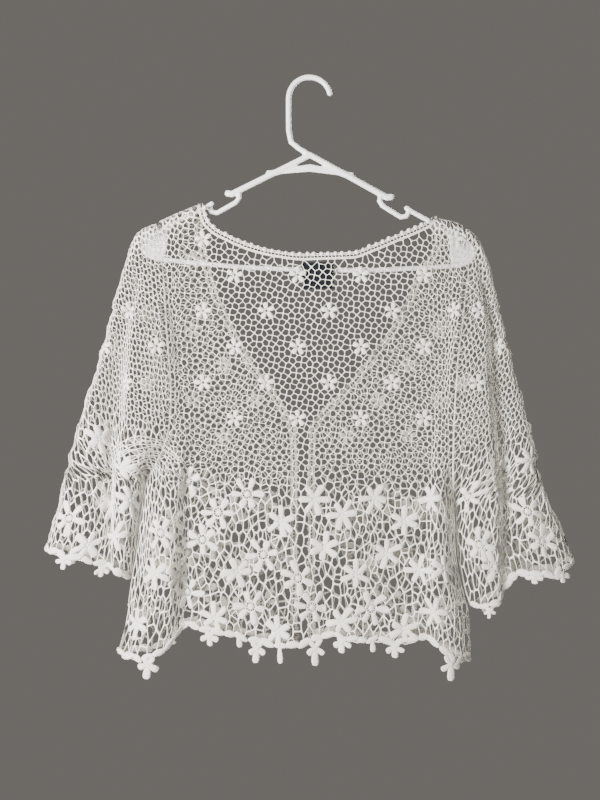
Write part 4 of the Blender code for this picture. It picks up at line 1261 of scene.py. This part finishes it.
near = Sheet(-1, 1.0, CREASES_NEAR)
far = Sheet(1, FAR_SHARE, CREASES_FAR)
armhole_left = on_crest(along_curve(ARMHOLE_LEFT))
armhole_right = on_crest(along_curve(ARMHOLE_RIGHT))
side_left = down_column(LEFT, "gap_body", -1, armhole_left[-1, 1], HEM["z"][0])[1:]
side_right = down_column(RIGHT, "gap_body", 1, armhole_right[-1, 1], HEM["z"][-1])[1:]


BACK_GATHERS = ((-400, -158, 1.5), (142, 400, 1.4))      # along the cloth: from, to, how narrow
FRONT_GATHERS = ((-400, -160, 1.3), (150, 400, 1.3))
BACK_FLOWERS, FRONT_FLOWERS, SLEEVE_FLOWERS_Z = (-235.5, -14.4), (-214.0, 8.0), -236.0


def made_back():
    neck = on_crest(offset_line(along_curve(NECKLINE), -EDGING_WIDTH + EDGING_OVERLAP), True, True)
    crest_left = along_crest(armhole_left[0, 0], neck[0, 0])
    crest_right = along_crest(neck[-1, 0], armhole_right[0, 0])
    hem = hem_between(HEM, side_left[-1, 0], side_right[-1, 0])
    outline = np.concatenate([
        armhole_left[::-1], crest_left[1:], neck[1:], crest_right[1:], armhole_right[1:],
        side_right[:-1], hem[::-1], side_left[-2::-1],
    ])[::-1]
    phase = float(near.length_to(-36, -518))
    seam = armhole_right[armhole_right[:, 1] < SEAM_STRAND_TOP_Z]
    armholes = np.concatenate([armhole_left, armhole_right])
    return lace_panel("lace_back", near, outline, hem, PETALS_BACK, phase, BACK_FLOWERS, 11,
                      BACK_GATHERS, armholes, seams=(seam,), bunched=BUNCHED)


def made_front(name, curve, sign, seed):
    side = side_left if sign < 0 else side_right
    armhole = armhole_left if sign < 0 else armhole_right
    edge = on_crest(offset_line(along_curve(curve), sign * (EDGING_WIDTH - EDGING_OVERLAP)))
    if sign < 0:
        crest = along_crest(armhole[0, 0], edge[0, 0])
        hem = hem_between(HEM, side[-1, 0], edge[-1, 0])
        line = [armhole[::-1], crest[1:], edge[1:-1], hem[::-1], side[-2::-1]]
    else:
        crest = along_crest(edge[0, 0], armhole[0, 0])
        hem = hem_between(HEM, edge[-1, 0], side[-1, 0])
        line = [edge[-2::-1], crest[1:], armhole[1:], side[:-1], hem[::-1]]
    outline = np.concatenate(line)[::-1]
    phase = float(far.length_to(-20, -518))
    return lace_panel(name, far, outline, hem, None, phase, FRONT_FLOWERS, seed, FRONT_GATHERS,
                      armhole, NET_ANGLE_FRONT)


def made_sleeve(name, sheet, sign, seed):
    side, armhole, cuff_curve, petals = (
        (LEFT, ARMHOLE_LEFT, CUFF_LEFT, PETALS_CUFF_LEFT) if sign < 0
        else (RIGHT, ARMHOLE_RIGHT, CUFF_RIGHT, PETALS_CUFF_RIGHT)
    )
    armhole = on_crest(along_curve(armhole) + np.array([sign * 2 * SEAM_HALF_GAP, 0.0]))
    tip_x = CREST["x"][0] if sign < 0 else CREST["x"][-1]
    crest = along_crest(armhole[0, 0], tip_x)
    inner_end, outer_end = (cuff_curve["z"][-1], cuff_curve["z"][0])[::-sign]
    outer = down_column(side, "edge", sign, float(crest_z(tip_x)), outer_end)
    inner = down_column(side, "gap_sleeve", sign, armhole[-1, 1], inner_end)[1:]
    ends = (outer[-1, 0], inner[-1, 0])[::-sign]
    hem = hem_between(cuff_curve, *ends)
    line = [crest[:-1], outer[:-1], hem[::-sign], inner[-2::-1], armhole[:0:-1]]
    outline = np.concatenate(line)[::-sign]
    flat_hem = sheet.flat(hem)
    phase = float((flat_hem[0, 0] + flat_hem[-1, 0]) / 2)
    middle = float(flat_hem[:, 0].mean())
    gathers = ((-400, middle + 14, 1.25), (middle + 14, 400, 1.5))
    if sign > 0:
        gathers = ((-400, middle - 14, 1.5), (middle - 14, 400, 1.25))
    bunched = BUNCHED if sign < 0 and sheet is near else None
    flowers = (SLEEVE_FLOWERS_Z, phase * 0.84)
    return lace_panel(name, sheet, outline, hem, petals, phase, flowers, seed, gathers, armhole,
                      NET_ANGLE_NEAR - NET_ANGLE_SLEEVE * sign, SLEEVE_ROWS, bunched=bunched)


# Edgings: a stout double thread, a row of small holes, and a bobble at every picot

PICOT_PITCH, PICOT_RADIUS, PICOT_HEIGHT = 8.4, 2.6, 2.0
PICOT_JITTER = 0.35
PICOT_SIDES = 10
PICOT_GAP = 1.6              # pitches between two bobbles past which no thread joins them
# Distances in from the edge: of the bobbles, and of the holes' two sides
BOBBLE_LINE, HOLES_OUTER, HOLES_INNER = 0.9, 2.6, 6.1
LONG_THREADS = ((HOLES_OUTER, 0.6), (HOLES_INNER, 0.85), (7.5, 0.65))    # with their half widths
LONG_THREAD_STEP, LONG_THREAD_HEIGHT = 2.1, 0.8
SHORT_THREAD, BOBBLE_THREAD = (0.5, 0.6), (0.75, 0.8)    # half width, half height


def below_crest(line, gap):
    return line[line[:, 1] < crest_z(line[:, 0]) - gap]


def middles(line):
    """The middle of each step of a line."""
    return (line[1:] + line[:-1]) / 2


def edging(name, sheet, curve, turn, seed):
    chance = np.random.default_rng(seed)
    lace = Lace(sheet)
    line = below_crest(along_curve(curve, PICOT_PITCH), 2.0)
    dense = below_crest(along_curve(curve, LONG_THREAD_STEP), 0.8)
    for distance, size in LONG_THREADS:
        lace.strand(sheet.flat(offset_line(dense, turn * distance)), size, LONG_THREAD_HEIGHT)
    inner, outer = offset_line(line, turn * HOLES_INNER), offset_line(line, turn * HOLES_OUTER)
    for starts, ends in ((inner, outer), (middles(inner), middles(outer))):
        for start, end in zip(sheet.flat(starts), sheet.flat(ends)):
            lace.strand([start, end], *SHORT_THREAD)
    picots = sheet.flat(offset_line(line, turn * BOBBLE_LINE))
    for place in picots:
        radius = PICOT_RADIUS * chance.uniform(0.78, 1.12)
        centre = place + chance.normal(0, PICOT_JITTER, 2)
        height = PICOT_HEIGHT * chance.uniform(0.85, 1.05)
        lace.ball(centre, radius, 0.1, height, PICOT_SIDES)
    for start, end in zip(picots[:-1], picots[1:]):
        if np.linalg.norm(end - start) < PICOT_PITCH * PICOT_GAP:
            lace.strand([start, (start + end) / 2, end], *BOBBLE_THREAD)
    return lace.made(name, EDGING_COTTON)


# Label, sewn inside the back below the neck

LABEL_SIZE = (38.0, 32.0)
LABEL_CENTRE = (9.5, -236.0)
LABEL_MARGIN = 0.3           # the label stays this far inside the solid's edge
LABEL_LIFT = -1.75           # the label lies inside the back
LABEL_HALF_THICKNESS, LABEL_FOLD = 0.16, 0.12    # the folded ends are thicker
LABEL_GRID = (40, 34)        # points along and up
STITCHES, STITCH_START, STITCH_PITCH, STITCH_INSET = 9, 13.5, 3.4, 1.2
STITCH_THREAD = (0.26, 0.22, -1.35)              # half width, half height, lift


def cloth_label():
    """A woven label with folded ends, as a thin cushion of cloth."""
    cols, rows = LABEL_GRID
    half_u, half_z = LABEL_SIZE[0] / 2 - LABEL_MARGIN, LABEL_SIZE[1] / 2 - LABEL_MARGIN
    middle = float(near.length_to(*LABEL_CENTRE))
    us, zs = np.meshgrid(np.linspace(-1, 1, cols), np.linspace(-1, 1, rows))
    bulge = 0.16 * np.sin(us * 2.6 + 0.6) * np.cos(zs * 2.2)
    fold = LABEL_FOLD * soft(share_of(np.abs(zs), 0.74, 0.86))
    edge = np.clip((1 - np.maximum(np.abs(us), np.abs(zs))) / 0.03, 0, 1)
    half = (LABEL_HALF_THICKNESS + fold) * (0.25 + 0.75 * edge)
    u = (middle + us * half_u).ravel()
    z = (LABEL_CENTRE[1] + zs * half_z + 0.2 * np.sin(us * 3)).ravel()
    top = near.placed(u, z, (LABEL_LIFT + bulge + half).ravel())
    below = near.placed(u, z, (LABEL_LIFT + bulge - half).ravel())
    n = cols * rows
    faces = []
    for i in range(rows - 1):
        for j in range(cols - 1):
            a = i * cols + j
            faces.append((a, a + 1, a + 1 + cols, a + cols))
            faces.append((a + n, a + cols + n, a + 1 + cols + n, a + 1 + n))
    ring = list(range(cols)) + [i * cols + cols - 1 for i in range(1, rows)]
    ring += [(rows - 1) * cols + j for j in range(cols - 2, -1, -1)]
    ring += [i * cols for i in range(rows - 2, 0, -1)]
    for a, b in zip(ring, ring[1:] + ring[:1]):
        faces.append((b, a, a + n, b + n))
    return solid("woven_label", np.concatenate([top, below]), faces, LABEL_CLOTH)


def label_stitches():
    """Short slanted stitches along the label's two short ends."""
    lace = Lace(near)
    middle = float(near.length_to(*LABEL_CENTRE))
    for side in (-1, 1):
        for k in range(STITCHES):
            z = LABEL_CENTRE[1] - STITCH_START + k * STITCH_PITCH
            u = middle + side * (LABEL_SIZE[0] / 2 - STITCH_INSET)
            lace.strand([(u - 0.8, z), (u, z + 0.5), (u + 0.8, z + 1.0)], *STITCH_THREAD)
    return lace.made("label_stitches", STITCH_COTTON)


# Hanger: the solid's own form, rounded finely

HANGER_GRAIN, HANGER_ROUNDS = 1.1, 5     # size of its faces, and rounds of softening


def rounded_copy(node, name, grain_mm, rounds, finish):
    """The solid as one skin of small faces, with its corners softened."""
    mesh = frame["nodes"][node].data.copy()
    mesh.materials.clear()
    piece = bpy.data.objects.new(name, mesh)
    bpy.context.scene.collection.objects.link(piece)
    fine = piece.modifiers.new("fine skin", "REMESH")
    fine.mode = "VOXEL"
    fine.voxel_size = grain_mm * MM
    fine.use_smooth_shade = True
    soften = piece.modifiers.new("soft corners", "SMOOTH")
    soften.factor = 0.5
    soften.iterations = rounds
    graph = bpy.context.evaluated_depsgraph_get()
    done = bpy.data.meshes.new_from_object(piece.evaluated_get(graph))
    piece.modifiers.clear()
    piece.data = done
    done.shade_smooth()
    done.materials.clear()
    done.materials.append(finish)
    return piece


# The pieces

back = made_back()
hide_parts("back", "back_border")
front_left = made_front("lace_front_left", FRONT_EDGE_LEFT, -1, 12)
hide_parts("front_left")
front_right = made_front("lace_front_right", FRONT_EDGE_RIGHT, 1, 13)
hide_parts("front_right")
sleeves = []
for name, node, sheet, sign, seed in (
    ("lace_sleeve_left_near", "sleeve_left_near", near, -1, 21),
    ("lace_sleeve_left_far", "sleeve_left_far", far, -1, 22),
    ("lace_sleeve_right_near", "sleeve_right_near", near, 1, 27),
    ("lace_sleeve_right_far", "sleeve_right_far", far, 1, 24),
):
    sleeve = made_sleeve(name, sheet, sign, seed)
    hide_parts(node)
    sleeves.append(sleeve)
neck_edging = edging("picots_neck", near, NECKLINE, -1, 31)
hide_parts("edging_neck")
left_edging = edging("picots_front_left", far, FRONT_EDGE_LEFT, -1, 32)
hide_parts("edging_front_left")
right_edging = edging("picots_front_right", far, FRONT_EDGE_RIGHT, 1, 33)
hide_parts("edging_front_right")
label = cloth_label()
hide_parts("label")
stitches = label_stitches()
hanger = rounded_copy("hanger", "plastic_hanger", HANGER_GRAIN, HANGER_ROUNDS, HANGER_PLASTIC)
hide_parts("hanger")

edgings = [neck_edging, left_edging, right_edging]
for piece in [back, front_left, front_right, *sleeves]:
    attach(piece, "root")
for piece in edgings:
    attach(piece, "root")
for piece in (label, stitches):
    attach(piece, "root")
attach(hanger, "root")

# Stage: a pale floor below, plain grey all round and soft studio light

def plain(name, colour, roughness=0.9):
    finish = Finish(name)
    cloudy = finish.noise(2.5, 3.0)
    deep = tuple(c * 0.93 for c in colour[:3]) + (1,)
    return finish.surface(
        Base_Color=finish.mixed(cloudy, colour, deep), Roughness=roughness,
        Normal=finish.bump(finish.noise(60.0, 3.0), 0.0006, 0.25),
    )


def flat_sheet(name, points, finish):
    return solid(name, points, [(0, 1, 2, 3)], finish)


FLOOR_Z, FLOOR_REACH, FLOOR_BACK = -1.25, 1.8, 0.8
floor = flat_sheet(
    "floor",
    [
        (-FLOOR_REACH, -FLOOR_REACH, FLOOR_Z), (FLOOR_REACH, -FLOOR_REACH, FLOOR_Z),
        (FLOOR_REACH, FLOOR_BACK, FLOOR_Z), (-FLOOR_REACH, FLOOR_BACK, FLOOR_Z),
    ],
    plain("pale floor", (0.72, 0.71, 0.69, 1)),
)


def lamp(name, place, aim, size, power, colour):
    light = bpy.data.lights.new(name, "AREA")
    light.shape = "RECTANGLE"
    light.size, light.size_y = size
    light.energy = power
    light.color = colour
    thing = bpy.data.objects.new(name, light)
    thing.location = place
    thing.rotation_euler = (Vector(aim) - Vector(place)).to_track_quat("-Z", "Y").to_euler()
    bpy.context.scene.collection.objects.link(thing)


MIDDLE = (-0.012, 0.0, -0.384)
lamp("key", (-0.68, -0.86, -0.3), (-0.05, 0, -0.4), (0.36, 0.36), 48.0, (1.0, 0.975, 0.935))
lamp("side", (-1.1, -0.8, 0.1), MIDDLE, (0.6, 0.6), 9.0, (1.0, 0.985, 0.96))
lamp("fill", (0.2, -1.5, -1.0), MIDDLE, (1.0, 1.0), 4.0, (0.98, 0.99, 1.0))
lamp("back", (0.7, 1.5, 0.3), MIDDLE, (1.0, 1.0), 32.0, (1.0, 0.99, 0.97))
world = bpy.data.worlds.new("soft room")
world.use_nodes = True
world.node_tree.nodes["Background"].inputs["Color"].default_value = (0.62, 0.59, 0.545, 1)
world.node_tree.nodes["Background"].inputs["Strength"].default_value = 0.25
bpy.context.scene.world = world

# Camera, straight in front of the garment's middle, in metres and the sensor's millimetres
CAMERA_DISTANCE, VIEW_HEIGHT, SENSOR = 1.1, 0.96, 36.0
camera_data = bpy.data.cameras.new("camera")
camera_data.sensor_fit = "AUTO"
camera_data.sensor_width = SENSOR
camera_data.lens = SENSOR * CAMERA_DISTANCE / VIEW_HEIGHT
camera_data.dof.use_dof = False
camera = bpy.data.objects.new("camera", camera_data)
camera.location = (MIDDLE[0], -CAMERA_DISTANCE, MIDDLE[2])
camera.rotation_euler = (math.pi / 2, 0.0, 0.0)
bpy.context.scene.collection.objects.link(camera)
bpy.context.scene.camera = camera
